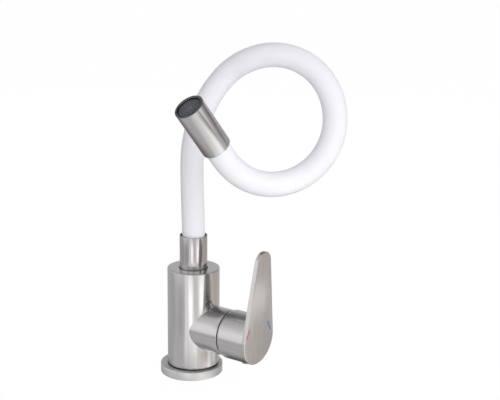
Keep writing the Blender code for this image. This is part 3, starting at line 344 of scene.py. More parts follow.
def body_branch():
    """The side branch, which flows into the bar over a small fillet.

    Each row runs from inside the bar over the fillet, along the branch, round its edge and
    back in along the bore.
    """
    sides, arc, edge, root = 160, 6, 0.0005, 0.016
    bm = bmesh.new()
    uv = bm.loops.layers.uv.new("turned")
    rows = []
    for k in range(sides):
        a = math.tau * k / sides
        n2 = Vector((0, math.sin(a), math.cos(a)))
        reach = BRANCH_RADIUS + FILLET
        y = reach * n2.y
        x = math.sqrt((BODY_RADIUS + FILLET) ** 2 - y * y)
        centre = Vector((x, y, BRANCH_Z + reach * n2.z))
        n1 = Vector((x, y, 0)) / (BODY_RADIUS + FILLET)
        turn = n1.angle(n2)
        row = [centre - n1 * (FILLET * 1.05) - n2 * 0.0016, centre - n1 * (FILLET * 1.02)]
        for j in range(1, arc + 1):
            t = j / arc
            way = (n1 * math.sin((1 - t) * turn) + n2 * math.sin(t * turn)) / math.sin(turn)
            row.append(centre - way * FILLET)
        start = row[arc + 1].x
        for share in (0.35, 0.7, 1.0):
            row.append(Vector((start + (BRANCH_REACH - edge - start) * share, 0, BRANCH_Z))
                       + n2 * BRANCH_RADIUS)
        for j in range(1, 4):
            b = math.pi / 2 * j / 3
            row.append(Vector((BRANCH_REACH - edge + edge * math.sin(b), 0, BRANCH_Z))
                       + n2 * (BRANCH_RADIUS - edge + edge * math.cos(b)))
        row.append(Vector((BRANCH_REACH, 0, BRANCH_Z)) + n2 * BRANCH_BORE)
        row.append(Vector((root, 0, BRANCH_Z)) + n2 * BRANCH_BORE)
        rows.append(row)
    grid = [[bm.verts.new(p) for p in row] for row in rows]
    lengths = []
    for row in rows:
        run = [0.0]
        for p, q in zip(row, row[1:]):
            run.append(run[-1] + (q - p).length)
        lengths.append(run)
    columns = len(rows[0])
    for k in range(sides):
        n = (k + 1) % sides
        for j in range(columns):
            m = (j + 1) % columns
            face = bm.faces.new((grid[k][j], grid[n][j], grid[n][m], grid[k][m]))
            corners = ((k, j, k), (n, j, k + 1), (n, m, k + 1), (k, m, k))
            for item, (row, col, step) in zip(face.loops, corners):
                item[uv].uv = (lengths[row][col], step / sides * BRANCH_GIRTH)
    return new_object("body_branch", bm, smooth=32)


# Lever

def paddle_outline(inset, steps=40):
    """The paddle's outline: two arcs and the straight sides between them."""
    lean = math.asin((HEEL_RADIUS - TIP_RADIUS) / PADDLE_LENGTH)
    tip = (TIP_RADIUS - inset, PADDLE_LENGTH, math.pi / 2 - lean, -math.pi + 2 * lean)
    heel = (HEEL_RADIUS - inset, 0, -math.pi / 2 + lean, -math.pi - 2 * lean)
    points = []
    for radius, centre, start, sweep in (tip, heel):
        for k in range(steps + 1):
            a = start + sweep * k / steps
            points.append((centre + radius * math.cos(a), radius * math.sin(a)))
    return points


def paddle_place(depth, width, height):
    """A place on the paddle: depth behind its face, width along Y, height from the branch axis."""
    c, s = math.cos(PADDLE_TILT), math.sin(PADDLE_TILT)
    return Vector((PADDLE_FACE - depth * c + height * s, width,
                   BRANCH_Z + height * c + depth * s))


def lever_paddle():
    """The paddle, with round edges."""
    bm = bmesh.new()
    uv = bm.loops.layers.uv.new("turned")
    round_front, round_back, steps = 0.0008, 0.0006, 5
    levels = []
    for j in range(steps + 1):
        a = math.pi / 2 * j / steps
        levels.append((round_front * (1 - math.sin(a)), round_front * (1 - math.cos(a))))
    for j in range(steps + 1):
        a = math.pi / 2 * j / steps
        levels.append((round_back * (1 - math.cos(a)),
                       PADDLE_THICKNESS - round_back * (1 - math.sin(a))))
    rings = []
    for inset, depth in levels:
        rings.append([bm.verts.new(paddle_place(depth, w, h)) for h, w in paddle_outline(inset)])
    loft(bm, rings)
    for face in bm.faces:
        for item in face.loops:
            item[uv].uv = (item.vert.co.y, item.vert.co.z)
    return new_object("lever_paddle", bm, smooth=25)


def lever_cap():
    """The hollow cap behind the paddle, with the grub screw's hole."""
    end = PADDLE_FACE - PADDLE_THICKNESS / 2
    profile = [(0, CAP_FLOOR), (CAP_BORE, CAP_FLOOR), (CAP_BORE, CAP_BACK),
               (CAP_RADIUS - 0.0006, CAP_BACK), (CAP_RADIUS, CAP_BACK + 0.0018),
               (CAP_RADIUS, end), (0, end)]
    profile = rounded(profile, (0, 0.0004, 0.0001, 0.0002, 0.0015, 0, 0))
    cap = lathe("lever_cap", profile, 160, ALONG_BRANCH, 30)
    low, high = -0.022, -0.0185
    hole = [(0, low), (SCREW_RADIUS, low), (SCREW_RADIUS, high), (0, high)]
    cut(cap, lathe("hole", hole, 32, Matrix.Translation((SCREW_PLACE, 0, BRANCH_Z))))
    return sharpen(cap)


def lever_boss():
    """The boss inside the cap, with its square seat for the spindle."""
    back, front, sides = CAP_FLOOR - BOSS_LENGTH, CAP_FLOOR + 0.0002, 64
    angles = [math.tau * k / sides for k in range(sides)]
    bm = bmesh.new()
    rings = []
    for x, r in ((back, BOSS_RADIUS - BOSS_CHAMFER), (back + BOSS_CHAMFER, BOSS_RADIUS),
                 (front, BOSS_RADIUS)):
        rings.append([bm.verts.new((x, r * math.sin(a), BRANCH_Z + r * math.cos(a)))
                      for a in angles])
    loft(bm, rings)
    boss = new_object("lever_boss", bm, smooth=30)
    square = bmesh.new()
    place = Matrix.Translation((back + SEAT_MIDDLE, 0, BRANCH_Z))
    size = Matrix.Diagonal((SEAT_LENGTH, SEAT_WIDTH, SEAT_WIDTH, 1))
    bmesh.ops.create_cube(square, size=1, matrix=place @ size)
    return sharpen(cut(boss, new_object("seat", square)))


def lever_mark(name, start, end):
    """A short enamelled stroke on the paddle's face, with round ends."""
    bm = bmesh.new()
    a, b = Vector(start), Vector(end)
    way = (b - a).normalized()
    across = Vector((-way.y, way.x))
    outline = []
    for centre, sign in ((a, 1), (b, -1)):
        for k in range(13):
            t = math.pi * k / 12
            out = across * math.cos(t) - way * math.sin(t)
            outline.append(centre + out * (sign * MARK_WIDTH / 2))
    middle = (a + b) / 2
    rings = []
    for inset, depth in ((0, 0.0002), (0, -0.00004), (0.00012, -0.00008)):
        ring = []
        for p in outline:
            q = p + (middle - p).normalized() * inset
            ring.append(bm.verts.new(paddle_place(depth, q.x, q.y)))
        rings.append(ring)
    loft(bm, rings)
    return new_object(name, bm, smooth=30)


def screw_plug():
    """The button over the grub screw's hole: a domed head on a short stem."""
    top = -CAP_RADIUS - 0.0003
    stem_top = top + 0.0022
    profile = [(0, top - PLUG_HEAD), (PLUG_RADIUS, top - PLUG_HEAD + 0.0003), (PLUG_RADIUS, top),
               (PLUG_STEM, top), (PLUG_STEM, stem_top), (0, stem_top)]
    profile = rounded(profile, (0, 0.0008, 0.0002, 0, 0.0002, 0), 5)
    return lathe("screw_plug", profile, 64, Matrix.Translation((SCREW_PLACE, 0, BRANCH_Z)), 30)


# Collar and nozzle

def spout_collar():
    """The thin tube round the neck's foot, with a floor for the nut."""
    bore, floor = COLLAR_RADIUS - COLLAR_WALL, COLLAR_BASE + COLLAR_FLOOR
    profile = [(COLLAR_SEAT, COLLAR_BASE), (COLLAR_RADIUS, COLLAR_BASE),
               (COLLAR_RADIUS, COLLAR_TOP), (bore, COLLAR_TOP), (bore, floor), (COLLAR_SEAT, floor)]
    profile = rounded(profile, (0, 0.0002, 0.00035, 0.00035))
    return lathe("spout_collar_look", profile, 128, None, 30)


def nozzle_sleeve():
    """The nozzle's steel wall, turned in at its mouth and round the neck."""
    bore, mouth = NOZZLE_RADIUS - NOZZLE_WALL, NOZZLE_RADIUS - MOUTH_WALL
    lip, entry = NOZZLE_LENGTH - MOUTH_DEPTH, SLEEVE_RADIUS + 0.0006
    profile = [(entry, 0), (NOZZLE_RADIUS, 0), (NOZZLE_RADIUS, NOZZLE_LENGTH),
               (mouth, NOZZLE_LENGTH), (mouth, lip), (bore, lip), (bore, ENTRY_DEPTH),
               (entry, ENTRY_DEPTH)]
    profile = rounded(profile, (0.0003, 0.0004, 0.0002, 0.0003))
    return lathe("nozzle_sleeve_look", profile, 128, NOZZLE_FRAME, 30)


def aerator_ring():
    """The aerator's dark ring, inside the nozzle's mouth."""
    front = NOZZLE_LENGTH - AERATOR_SUNK
    back = front - AERATOR_LENGTH
    profile = [(AERATOR_BORE, back), (AERATOR_RADIUS, back), (AERATOR_RADIUS, front),
               (AERATOR_BORE, front)]
    profile = rounded(profile, (0, 0, 0.0003, 0.0002))
    return lathe("aerator_ring", profile, 96, NOZZLE_FRAME, 30)


def aerator_grille():
    """The outlet: fine concentric rings joined by short ribs, over a floor darkened by painted
    shade.
    """
    face, rib = NOZZLE_LENGTH - GRILLE_SUNK, 0.0005
    valley, back = face - GRILLE_GROOVE, face - 2 * GRILLE_GROOVE
    pitch = GRILLE_RADIUS / GRILLE_RINGS
    profile = [(0, back), (GRILLE_RADIUS, back), (GRILLE_RADIUS, face)]
    for k in range(GRILLE_RINGS, 0, -1):
        outer = pitch * k
        profile += [(outer - pitch * 0.34, face), (outer - pitch * 0.42, valley),
                    (outer - pitch * 0.92, valley), (outer - pitch, face)]
    profile = profile[:-1] + [(0.00012, face), (0, face)]
    disc = lathe("aerator_grille_look", profile, 96, None, 30)
    bm = bmesh.new()
    bm.from_mesh(disc.data)
    size = Matrix.Diagonal((pitch * 0.7, rib, face - valley, 1))
    for ring in range(GRILLE_RINGS):
        middle = Matrix.Translation((pitch * (ring + 0.33), 0, (face + valley) / 2 - 0.00005))
        count = 7 * (ring + 1)
        for k in range(count):
            turn = Matrix.Rotation(math.tau * (k + 0.5 * (ring % 2)) / count, 4, "Z")
            bmesh.ops.create_cube(bm, size=1, matrix=turn @ middle @ size)
    bmesh.ops.transform(bm, matrix=NOZZLE_FRAME, verts=bm.verts)
    bm.to_mesh(disc.data)
    bm.free()
    return disc


# Materials

def add_node(tree, kind, inputs=(), **settings):
    """A shader node. Its inputs are values, or the outputs of other nodes."""
    made = tree.nodes.new(kind)
    for key, value in settings.items():
        setattr(made, key, value)
    for key, value in dict(inputs).items():
        if hasattr(value, "is_output"):
            tree.links.new(value, made.inputs[key])
        else:
            made.inputs[key].default_value = value
    return made


class Look:
    """A Principled material under construction."""

    def __init__(self, name, roughness=0.5, metallic=0.0):
        self.material = bpy.data.materials.new(name)
        self.material.use_nodes = True
        self.tree = self.material.node_tree
        self.shader = self.tree.nodes["Principled BSDF"]
        self.shader.inputs["Roughness"].default_value = roughness
        self.shader.inputs["Metallic"].default_value = metallic

    def node(self, kind, inputs=(), **settings):
        return add_node(self.tree, kind, inputs, **settings)

    def math(self, operation, a, b=0.0):
        return self.node("ShaderNodeMath", {0: a, 1: b}, operation=operation).outputs[0]

    def vector(self, operation, a, b):
        made = self.node("ShaderNodeVectorMath", {0: a, 1: b}, operation=operation)
        return made.outputs["Vector"]

    def dot(self, a, b):
        made = self.node("ShaderNodeVectorMath", {0: a, 1: tuple(b)}, operation="DOT_PRODUCT")
        return made.outputs["Value"]

    def length(self, a):
        made = self.node("ShaderNodeVectorMath", {0: a}, operation="LENGTH")
        return made.outputs["Value"]

    def noise(self, vector, scale, detail=2.0, rough=0.5):
        inputs = {"Vector": vector, "Scale": scale, "Detail": detail, "Roughness": rough}
        return self.node("ShaderNodeTexNoise", inputs).outputs["Fac"]

    def ramp(self, value, low, high, to_low, to_high):
        """A value's place between low and high, taken to the same place between two others."""
        made = self.node("ShaderNodeMapRange", {0: value, 1: low, 2: high, 3: to_low, 4: to_high})
        return made.outputs[0]

    def mix(self, factor, a, b):
        """One of two colours, or both in part."""
        made = self.node("ShaderNodeMix", {0: factor}, data_type="RGBA")
        for index, value in ((6, a), (7, b)):
            if hasattr(value, "is_output"):
                self.tree.links.new(value, made.inputs[index])
            else:
                made.inputs[index].default_value = (*value, 1.0)
        return made.outputs[2]

    def link(self, value, socket):
        self.tree.links.new(value, self.shader.inputs[socket])

    def bump(self, height, strength, distance):
        inputs = {"Height": height, "Strength": strength, "Distance": distance}
        return self.node("ShaderNodeBump", inputs).outputs["Normal"]

    def place(self):
        """Where on the object a point lies."""
        return self.node("ShaderNodeTexCoord").outputs["Object"]

    def along(self, where, axis):
        return self.node("ShaderNodeSeparateXYZ", {0: where}).outputs[axis]


def painted_branch_gap_shade(look, where):
    """Painted shade in the gap between the branch and the cap."""
    run = look.along(where, "X")
    aside = look.vector("SUBTRACT", where, (0, 0, BRANCH_Z))
    radius = look.length(look.vector("MULTIPLY", aside, (0, 1, 1)))
    inside = look.ramp(radius, BRANCH_RADIUS + 0.0002, BRANCH_RADIUS + 0.0005, 1, 0)
    after = look.ramp(run, BRANCH_REACH - 0.00025, BRANCH_REACH - 0.0001, 0, 1)
    before = look.ramp(run, CAP_BACK + 0.0001, CAP_BACK + 0.0003, 1, 0)
    return look.math("MULTIPLY", inside, look.math("MULTIPLY", after, before))


def painted_foot_shade(look, where):
    """Painted shade in the undercut at the body's foot, deepest at the left."""
    side = look.dot(where, neck_point(1, 0, 0))
    left = look.ramp(side, -0.014, -0.005, 1, 0)
    right = look.ramp(side, 0.009, 0.016, 0, 0.6)
    low = look.ramp(look.along(where, "Z"), BODY_FOOT + UNDERCUT * 0.7, BODY_FOOT + UNDERCUT, 1, 0)
    return look.math("MULTIPLY", low, look.math("MAXIMUM", left, right))


def painted_bore_shade(look, where):
    """Painted shade on the edge inside the base ring."""
    place = look.vector("ADD", where, tuple(neck_point(RING_SHIFT, 0, 0)))
    radius = look.length(look.vector("MULTIPLY", place, (1, 1, 0)))
    return look.ramp(radius, RING_BORE + 0.0004, RING_BORE + 0.0006, 1, 0)


def flattened(look, where, way):
    """The place with its run along a way drawn in, so that marks lie along that way."""
    run = look.math("MULTIPLY", look.dot(where, way), 0.97)
    back = look.node("ShaderNodeVectorMath", {0: tuple(way), "Scale": run}, operation="SCALE")
    return look.vector("SUBTRACT", where, back.outputs["Vector"])


def nozzle_run(look, where):
    """How far along the nozzle a place lies, from the nozzle's rear end."""
    return look.dot(look.vector("SUBTRACT", where, tuple(NOZZLE_REAR)), NOZZLE_WAY)


def painted_mouth_shade(look, where):
    """Painted shade on the nozzle's turned mouth, darker than its wall."""
    return look.ramp(nozzle_run(look, where), NOZZLE_LENGTH - 0.0003, NOZZLE_LENGTH - 0.0001, 0, 1)


def brushed(name, colour, roughness, lines, spread=1.0, anisotropy=0.6, contrast=0.10,
            painted_shade=None, shade=0.05, way=None):
    """Brushed steel.

    Lines gives the frequency of the brushing along X, Y and Z, and way the direction of
    brushing where that is none of them. The places given for painted shade are painted
    darker, down to this shade of the colour.
    """
    look = Look(name, roughness, 1.0)
    where = look.place()
    marks = flattened(look, where, way) if way else where
    wide = tuple(v * 0.18 for v in lines)
    fine = look.noise(look.vector("MULTIPLY", marks, lines), 1.0, 3.0, 0.6)
    broad = look.noise(look.vector("MULTIPLY", marks, wide), 1.0, 2.0, 0.5)
    cloud = look.noise(where, 55.0, 2.0, 0.5)
    both = look.math("ADD", look.math("MULTIPLY", fine, 0.55), look.math("MULTIPLY", broad, 0.45))
    dark = tuple(c * (1 - contrast) for c in colour)
    light = tuple(min(1, c * (1 + contrast * 0.8)) for c in colour)
    metal = look.mix(look.ramp(both, 0.3, 0.7, 0, 1), dark, light)
    # Painted shade: the given places are darkened toward this share of the colour
    if painted_shade:
        metal = look.mix(painted_shade(look, where), metal, tuple(c * shade for c in colour))
    look.link(metal, "Base Color")
    grain = look.math("ADD", look.ramp(fine, 0.3, 0.7, -0.04, 0.05),
                      look.ramp(cloud, 0.3, 0.7, -0.02, 0.03))
    look.link(look.math("ADD", grain, roughness), "Roughness")
    look.shader.inputs["Anisotropic"].default_value = anisotropy
    tangent = look.node("ShaderNodeTangent", direction_type="UV_MAP", uv_map="turned")
    look.link(tangent.outputs[0], "Tangent")
    look.link(look.bump(fine, 0.20, 0.00001 * spread), "Normal")
    return look.material


def silicone():
    """Matt white silicone with a faint cool tone and a soft skin."""
    look = Look("silicone_white", 0.42)
    where = look.place()
    cloud = look.noise(where, 28.0, 3.0, 0.55)
    dust = look.noise(where, 900.0, 2.0, 0.6)
    tone = look.math("ADD", look.math("MULTIPLY", cloud, 0.7), look.math("MULTIPLY", dust, 0.3))
    white = look.mix(look.ramp(tone, 0.35, 0.65, 0, 1), (0.87, 0.875, 0.91), (0.91, 0.91, 0.935))
    look.link(white, "Base Color")
    look.link(look.ramp(dust, 0.3, 0.7, 0.38, 0.50), "Roughness")
    look.link(look.bump(dust, 0.12, 0.00004), "Normal")
    look.shader.inputs["Subsurface Weight"].default_value = 0.15
    look.shader.inputs["Subsurface Radius"].default_value = (0.004, 0.0035, 0.003)
    look.shader.inputs["IOR"].default_value = 1.41
    return look.material


def moulded(name, colour, roughness, grain=1400.0):
    """Moulded plastic with a fine grain."""
    look = Look(name, roughness)
    where = look.place()
    fine, cloud = look.noise(where, grain, 2.0, 0.6), look.noise(where, 120.0, 2.0, 0.5)
    darker = tuple(c * 0.86 for c in colour)
    look.link(look.mix(look.ramp(cloud, 0.3, 0.7, 0, 1), darker, colour), "Base Color")
    look.link(look.ramp(fine, 0.3, 0.7, roughness - 0.05, roughness + 0.07), "Roughness")
    look.link(look.bump(fine, 0.3, 0.00003), "Normal")
    return look.material


def grille_plastic():
    """The grille's smooth grey plastic, with painted shade, near black, in the depth of its
    grooves.
    """
    look = Look("plastic_grille", 0.30)
    where = look.place()
    # Painted shade: deeper than the grooves' lips the colour goes near black
    rise = look.ramp(nozzle_run(look, where), NOZZLE_LENGTH - 0.0019, NOZZLE_LENGTH - 0.00135, 0, 1)
    speck = look.noise(where, 2400.0, 2.0, 0.6)
    shade = look.mix(look.ramp(speck, 0.3, 0.7, 0, 1), (0.115, 0.12, 0.135), (0.17, 0.175, 0.195))
    look.link(look.mix(rise, (0.004, 0.004, 0.005), shade), "Base Color")
    look.link(look.ramp(speck, 0.3, 0.7, 0.26, 0.38), "Roughness")
    look.link(look.bump(speck, 0.1, 0.00001), "Normal")
    return look.material


def turned_brass():
    """Machined brass with fine tool marks."""
    look = Look("turned_brass", 0.28, 1.0)
    where = look.place()
    marks = look.noise(look.vector("MULTIPLY", where, (500.0, 500.0, 9000.0)), 1.0, 2.0, 0.5)
    cloud = look.noise(where, 150.0, 3.0, 0.6)
    brass = look.mix(look.ramp(cloud, 0.3, 0.7, 0, 1), (0.60, 0.43, 0.20), (0.78, 0.60, 0.33))
    look.link(brass, "Base Color")
    look.link(look.ramp(marks, 0.3, 0.7, 0.22, 0.38), "Roughness")
    look.link(look.bump(marks, 0.3, 0.00003), "Normal")
    return look.material


def enamel(name, colour):
    """The coloured filling of a mark."""
    look = Look(name, 0.35)
    where = look.place()
    speck = look.noise(where, 2500.0, 2.0, 0.6)
    pale = tuple(min(1.0, c * 1.12 + 0.01) for c in colour)
    look.link(look.mix(look.ramp(speck, 0.35, 0.65, 0, 1), colour, pale), "Base Color")
    look.link(look.ramp(speck, 0.3, 0.7, 0.30, 0.42), "Roughness")
    look.link(look.bump(speck, 0.2, 0.00002), "Normal")
    return look.material


def plain_steel():
    """Plain steel for the small solids."""
    look = Look("steel_plain", 0.3, 1.0)
    where = look.place()
    fine = look.noise(where, 1200.0, 3.0, 0.6)
    steel = look.mix(look.ramp(fine, 0.3, 0.7, 0, 1), (0.52, 0.51, 0.50), (0.64, 0.62, 0.60))
    look.link(steel, "Base Color")
    look.link(look.ramp(fine, 0.3, 0.7, 0.25, 0.36), "Roughness")
    look.link(look.bump(fine, 0.2, 0.00002), "Normal")
    return look.material


STEEL = (0.598, 0.580, 0.580)
DULL_STEEL = (0.672, 0.655, 0.650)
DARK_STEEL = (0.508, 0.490, 0.488)


def dress_all():
    """Every piece of the object, with its finish."""
    # The body's foot, the ring's bore edge, the gap at the branch and the nozzle's mouth get
    # painted shade
    body = brushed("steel_body", STEEL, 0.13, (1500.0, 1500.0, 40.0), contrast=0.07,
                   painted_shade=painted_foot_shade, shade=0.04)
    ring = brushed("steel_ring", DULL_STEEL, 0.40, (1800.0, 1800.0, 1800.0), anisotropy=0.3,
                   contrast=0.04, painted_shade=painted_bore_shade)
    branch = brushed("steel_branch", STEEL, 0.22, (40.0, 1500.0, 1500.0), painted_shade=painted_branch_gap_shade,
                     shade=0.04)
    collar = brushed("steel_collar", DARK_STEEL, 0.08, (1500.0, 1500.0, 40.0), contrast=0.05)
    paddle = brushed("steel_paddle", STEEL, 0.20, (30.0, 1800.0, 45.0), anisotropy=0.9,
                     contrast=0.07)
    nozzle = brushed("steel_nozzle", STEEL, 0.20, (1500.0, 1500.0, 1500.0), spread=0.2,
                     anisotropy=0.5, contrast=0.06, painted_shade=painted_mouth_shade, shade=0.32,
                     way=NOZZLE_WAY)
    white = silicone()
    grey = moulded("plastic_grey", (0.30, 0.31, 0.33), 0.50)
    black = moulded("plastic_black", (0.060, 0.060, 0.068), 0.50)

    dress(base_ring(), "base", ring, "steel", "base_ring")
    dress(body_bar(), "base", body, "steel", "faucet_body")
    dress(body_branch(), "base", branch, "steel")
    dress(lever_cap(), "lever", branch, "steel", "lever_handle")
    dress(lever_boss(), "lever", branch, "steel")
    dress(lever_paddle(), "lever", paddle, "steel")
    dress(lever_mark("mark_hot", (-0.0153, 0.0139), (-0.0184, 0.0070)), "lever",
          enamel("enamel_red", (0.44, 0.035, 0.03)), "steel")
    dress(lever_mark("mark_cold", (0.0117, 0.0136), (0.0164, 0.0057)), "lever",
          enamel("enamel_blue", (0.012, 0.11, 0.42)), "steel")
    dress(screw_plug(), "lever", grey, "grey_plastic", "lever_screw_plug")
    dress(spout_collar(), "spout", collar, "steel", "spout_collar")
    dress(neck_sleeve(), "spout", white, "silicone", "neck_sleeve")
    dress(nozzle_sleeve(), "spout", nozzle, "steel", "nozzle_sleeve")
    dress(aerator_ring(), "spout", black, "dark_plastic", "aerator_housing")
    dress(aerator_grille(), "spout", grille_plastic(), "dark_plastic", "aerator_grille")

    slots = {
        "steel": plain_steel(),
        "brass": turned_brass(),
        "silicone": white,
        "grey_plastic": grey,
        "rubber": moulded("rubber_black", (0.03, 0.03, 0.03), 0.72, 900.0),
        "ceramic": moulded("ceramic_white", (0.88, 0.87, 0.84), 0.14, 3000.0),
        "dark_plastic": moulded("plastic_dark", (0.075, 0.075, 0.085), 0.42),
        "white_plastic": moulded("plastic_white", (0.80, 0.80, 0.78), 0.45),
    }
    for part in frame["record"]["subparts"]:
        node = frame["nodes"][part["node"]]
        node.data.materials.clear()
        node.data.materials.append(slots[part["material_slot"]])


# Studio

FRONT = math.radians(38)
TOWARD = Vector((math.sin(FRONT), -math.cos(FRONT), 0))
RIGHT = Vector((math.cos(FRONT), math.sin(FRONT), 0))
FLOOR_REACH, FLOOR_SUNK = 9.0, 0.0002


def studio_floor():
    """A white floor, painted dark under the foot as painted shade, so that it doesn't shine through
    the ring's gap.
    """
    mesh = bpy.data.meshes.new("floor")
    s = FLOOR_REACH
    mesh.from_pydata([(-s, -s, 0), (s, -s, 0), (s, s, 0), (-s, s, 0)], [], [(0, 1, 2, 3)])
    floor = bpy.data.objects.new("floor", mesh)
    bpy.context.scene.collection.objects.link(floor)
    floor.location.z = -FLOOR_SUNK
    material = bpy.data.materials.new("floor_white")
    material.use_nodes = True
    tree = material.node_tree
    tree.nodes.clear()
    place = add_node(tree, "ShaderNodeTexCoord").outputs["Object"]
    reach = add_node(tree, "ShaderNodeVectorMath", {0: place}, operation="LENGTH").outputs["Value"]
    # Painted shade: the floor's glow drops near black under the foot
    level = add_node(tree, "ShaderNodeMapRange", {0: reach, 1: GASKET_OUT, 2: GASKET_OUT + 0.0004,
                                                  3: 0.01}).outputs[0]
    glow = add_node(tree, "ShaderNodeEmission", {"Color": level, "Strength": 1.02}).outputs[0]
    matt = add_node(tree, "ShaderNodeBsdfDiffuse", {"Color": (0.82, 0.82, 0.82, 1)}).outputs[0]
    path = add_node(tree, "ShaderNodeLightPath").outputs["Is Camera Ray"]
    seen = add_node(tree, "ShaderNodeMath", {0: path, 1: 0.95}, operation="MULTIPLY").outputs[0]
    both = add_node(tree, "ShaderNodeMixShader", {0: seen, 1: matt, 2: glow}).outputs[0]
    add_node(tree, "ShaderNodeOutputMaterial", {"Surface": both})
    mesh.materials.append(material)
    floor.visible_glossy = False


# The studio as metal sees it, ring by ring from the floor up. Each place is an azimuth from
# the camera to the right, in degrees, with the level and the warmth of the light there.
FLOORWARD = ((-180, 0.10, 2), (-167, 0.12, 2), (-141, 0.24, 1.5), (-123, 0.40, 0.5),
             (-95, 0.62, 0), (-60, 0.60, 0), (-20, 0.60, 0), (0, 0.66, 0), (20, 0.86, 0),
             (40, 1.02, 0), (54, 1.25, 0), (67, 1.55, 0), (80, 1.55, 0), (90, 0.80, 0),
             (98, 0.58, 1.5), (115, 0.52, 1.5), (140, 0.40, 0), (180, 0.12, 1.5))
LOW = ((-180, 0.45, 0), (-130, 0.50, 0), (-112, 0.56, 0), (-97, 0.63, 0), (-52, 0.66, 0),
       (-43, 0.85, 0), (-34, 1.20, 0), (-25, 1.00, 0), (-15, 1.00, 0), (-7, 1.15, 0),
       (2, 1.45, 0), (11, 1.40, 0), (20, 0.92, 0), (29, 0.74, 1), (38, 0.66, 1.5), (48, 0.60, 2),
       (60, 0.56, 2), (69, 1.05, 0), (80, 1.05, 0), (90, 0.55, 1), (120, 0.45, 1),
       (140, 0.62, 0), (180, 0.45, 0))
BELOW = ((-180, 0.55, 0), (-120, 0.55, 0), (-95, 0.50, 0), (-84, 0.60, 0), (-74, 0.62, 0),
         (-62, 0.48, 0), (-42, 0.62, 0), (-35, 1.10, 0), (-24, 1.10, 0), (-18, 1.90, 0),
         (-7, 1.90, 0), (0, 1.00, 0), (6, 0.78, 0), (14, 0.88, 0), (22, 1.15, 0), (28, 1.80, 0),
         (40, 1.84, 0), (50, 0.95, 0), (59, 0.45, 1), (64, 0.20, 1.5), (73, 0.22, 1.5),
         (80, 0.60, 1), (90, 0.64, 1.5), (112, 0.58, 1.8), (130, 0.60, 1), (150, 0.62, 0),
         (180, 0.55, 0))
LEVEL_WITH = ((-180, 0.60, 0), (-165, 0.58, 0), (-150, 0.55, 0), (-130, 0.60, 0),
              (-115, 0.80, 0), (-98, 1.08, 0), (-60, 1.15, 0), (-45, 0.80, 0), (-20, 1.20, 0),
              (0, 0.80, 0), (20, 1.00, 0), (45, 1.20, 0), (60, 1.10, 0), (76, 1.10, 0),
              (85, 0.78, 0), (92, 0.50, 0), (103, 0.34, 0), (114, 0.25, 0), (126, 0.20, 0),
              (136, 0.36, 0), (146, 0.54, 0), (160, 0.62, 0), (180, 0.60, 0))
ABOVE = ((-180, 0.30, 0), (-165, 0.20, 0), (-152, 0.22, 0), (-138, 0.46, 0), (-120, 0.55, 0),
         (-100, 0.66, 0), (-80, 0.85, 0), (-50, 0.60, 0), (0, 0.30, 0), (60, 0.20, 0),
         (120, 0.20, 0), (180, 0.30, 0))
PEAK = 2.0
PANEL = (1.06, 1.02, 0.99)
# Where one ring gives way to the next, as the sine of the elevation
FLOORWARD_TO_LOW, LOW_TO_BELOW = (-0.47, -0.43), (-0.362, -0.34)
BELOW_TO_LEVEL, LEVEL_TO_ABOVE = (-0.20, -0.10), (0.38, 0.60)
# What matt pieces see, at the left and at the right
SOFT_LEFT, SOFT_RIGHT = (0.43, 0.43, 0.455, 1), (0.80, 0.80, 0.81, 1)


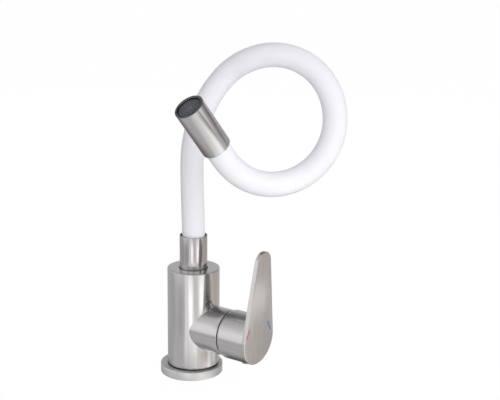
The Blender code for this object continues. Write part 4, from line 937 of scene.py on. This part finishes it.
def studio_world():
    """White for the camera, soft light for matt pieces, and the studio's rings for metal."""
    world = bpy.data.worlds.new("studio")
    bpy.context.scene.world = world
    world.use_nodes = True
    tree = world.node_tree
    tree.nodes.clear()

    def node(kind, inputs=(), **settings):
        return add_node(tree, kind, inputs, **settings)

    def number(operation, a, b):
        return node("ShaderNodeMath", {0: a, 1: b}, operation=operation).outputs[0]

    def dot(a, b):
        made = node("ShaderNodeVectorMath", {0: a, 1: tuple(b)}, operation="DOT_PRODUCT")
        return made.outputs["Value"]

    def mix(factor, first, second):
        return node("ShaderNodeMix", {0: factor, 6: first, 7: second}, data_type="RGBA").outputs[2]

    def between(value, low, high):
        """From 0 at low to 1 at high."""
        return node("ShaderNodeMapRange", {0: value, 1: low, 2: high, 3: 0, 4: 1}).outputs[0]

    way = node("ShaderNodeTexCoord").outputs["Generated"]
    side = dot(way, RIGHT)
    angle = number("ARCTAN2", side, dot(way, TOWARD))
    share = between(angle, -math.pi, math.pi)
    height = node("ShaderNodeSeparateXYZ", {0: way}).outputs["Z"]

    def bands(levels):
        """A ring of soft panels round the object, as levels of the peak."""
        ramp = node("ShaderNodeValToRGB", {0: share})
        elements = ramp.color_ramp.elements
        for index, (degrees, level, warm) in enumerate(levels):
            place = (degrees + 180) / 360
            if index == 0:
                item = elements[0]
            elif index == len(levels) - 1:
                item = elements[-1]
            else:
                item = elements.new(place)
            value = level / PEAK
            item.color = (value * (1 + 0.05 * warm), value, value * (1 - 0.05 * warm), 1)
        return ramp.outputs["Color"]

    low = mix(between(height, *FLOORWARD_TO_LOW), bands(FLOORWARD), bands(LOW))
    lower = mix(between(height, *LOW_TO_BELOW), low, bands(BELOW))
    ringed = mix(between(height, *BELOW_TO_LEVEL), lower, bands(LEVEL_WITH))
    # A warm panel that the paddle's face shows
    tall = number("MULTIPLY", between(height, -0.438, -0.420), between(height, -0.366, -0.380))
    wide = number("MULTIPLY", between(angle, math.radians(86), math.radians(93)),
                  between(angle, math.radians(119), math.radians(111)))
    panel = number("MULTIPLY", tall, wide)
    ringed = mix(panel, ringed, (*(value / PEAK for value in PANEL), 1))
    studio = mix(between(height, *LEVEL_TO_ABOVE), ringed, bands(ABOVE))
    bright = node("ShaderNodeVectorMath", {0: studio, 1: (PEAK,) * 3}, operation="MULTIPLY")
    path = node("ShaderNodeLightPath").outputs
    soft = mix(between(side, -1.0, 1.0), SOFT_LEFT, SOFT_RIGHT)
    lit = mix(path["Is Glossy Ray"], soft, bright.outputs["Vector"])
    seen = number("MAXIMUM", path["Is Camera Ray"], path["Is Transmission Ray"])
    colour = mix(seen, lit, (1, 1, 1, 1))
    glow = node("ShaderNodeBackground", {"Color": colour, "Strength": 1.0}).outputs[0]
    node("ShaderNodeOutputWorld", {"Surface": glow})
    world.cycles.sampling_method = "NONE"


AIM = Vector((0.04, -0.02, 0.15))


def studio_lamp(name, azimuth, elevation, distance, size, level):
    """A soft lamp that gives a surface facing it about this much light."""
    data = bpy.data.lights.new(name, "AREA")
    data.shape = "DISK"
    data.size = size
    data.energy = level * math.pi * math.pi * distance ** 2
    lamp = bpy.data.objects.new(name, data)
    bpy.context.scene.collection.objects.link(lamp)
    a, e = math.radians(azimuth), math.radians(elevation)
    flat = RIGHT * math.sin(a) + TOWARD * math.cos(a)
    way = flat * math.cos(e) + Vector((0, 0, math.sin(e)))
    lamp.location = AIM + way * distance
    lamp.rotation_mode = "QUATERNION"
    lamp.rotation_quaternion = way.to_track_quat("Z", "Y")
    lamp.visible_glossy = False
    lamp.visible_camera = False


def studio_camera():
    """The camera, from its bearing round the object and where the object lies in the frame."""
    elevation, roll, distance = math.radians(18.196), math.radians(0.242), 1.020
    focal, aside, below, looked_at = 1180.56, -56.653, -73.467, 0.088
    back = TOWARD * math.cos(elevation) + Vector((0, 0, math.sin(elevation)))
    ax, ay = math.atan2(aside, focal), math.atan2(below, focal)
    axes = Matrix((RIGHT, back.cross(RIGHT), back))
    turn_y = Matrix.Rotation(-ax, 3, "Y")
    turn_x = Matrix.Rotation(ay, 3, "X")
    turn_z = Matrix.Rotation(roll, 3, "Z")
    rows = turn_z @ turn_x @ turn_y @ axes
    data = bpy.data.cameras.new("camera")
    data.lens, data.sensor_width = 85, 36
    data.clip_start, data.clip_end = 0.05, 50
    camera = bpy.data.objects.new("camera", data)
    bpy.context.scene.collection.objects.link(camera)
    stand = Vector((0, 0, looked_at)) + back * distance
    camera.matrix_world = Matrix.Translation(stand) @ rows.transposed().to_4x4()
    bpy.context.scene.camera = camera


studio_camera()
dress_all()
studio_floor()
studio_world()
studio_lamp("key", 20, 14, 1.4, 0.9, 0.41)
studio_lamp("fill", -30, 20, 1.4, 0.9, 0.03)
studio_lamp("back", 170, 16, 1.4, 0.9, 0.18)
bpy.context.scene.view_settings.view_transform = "Standard"
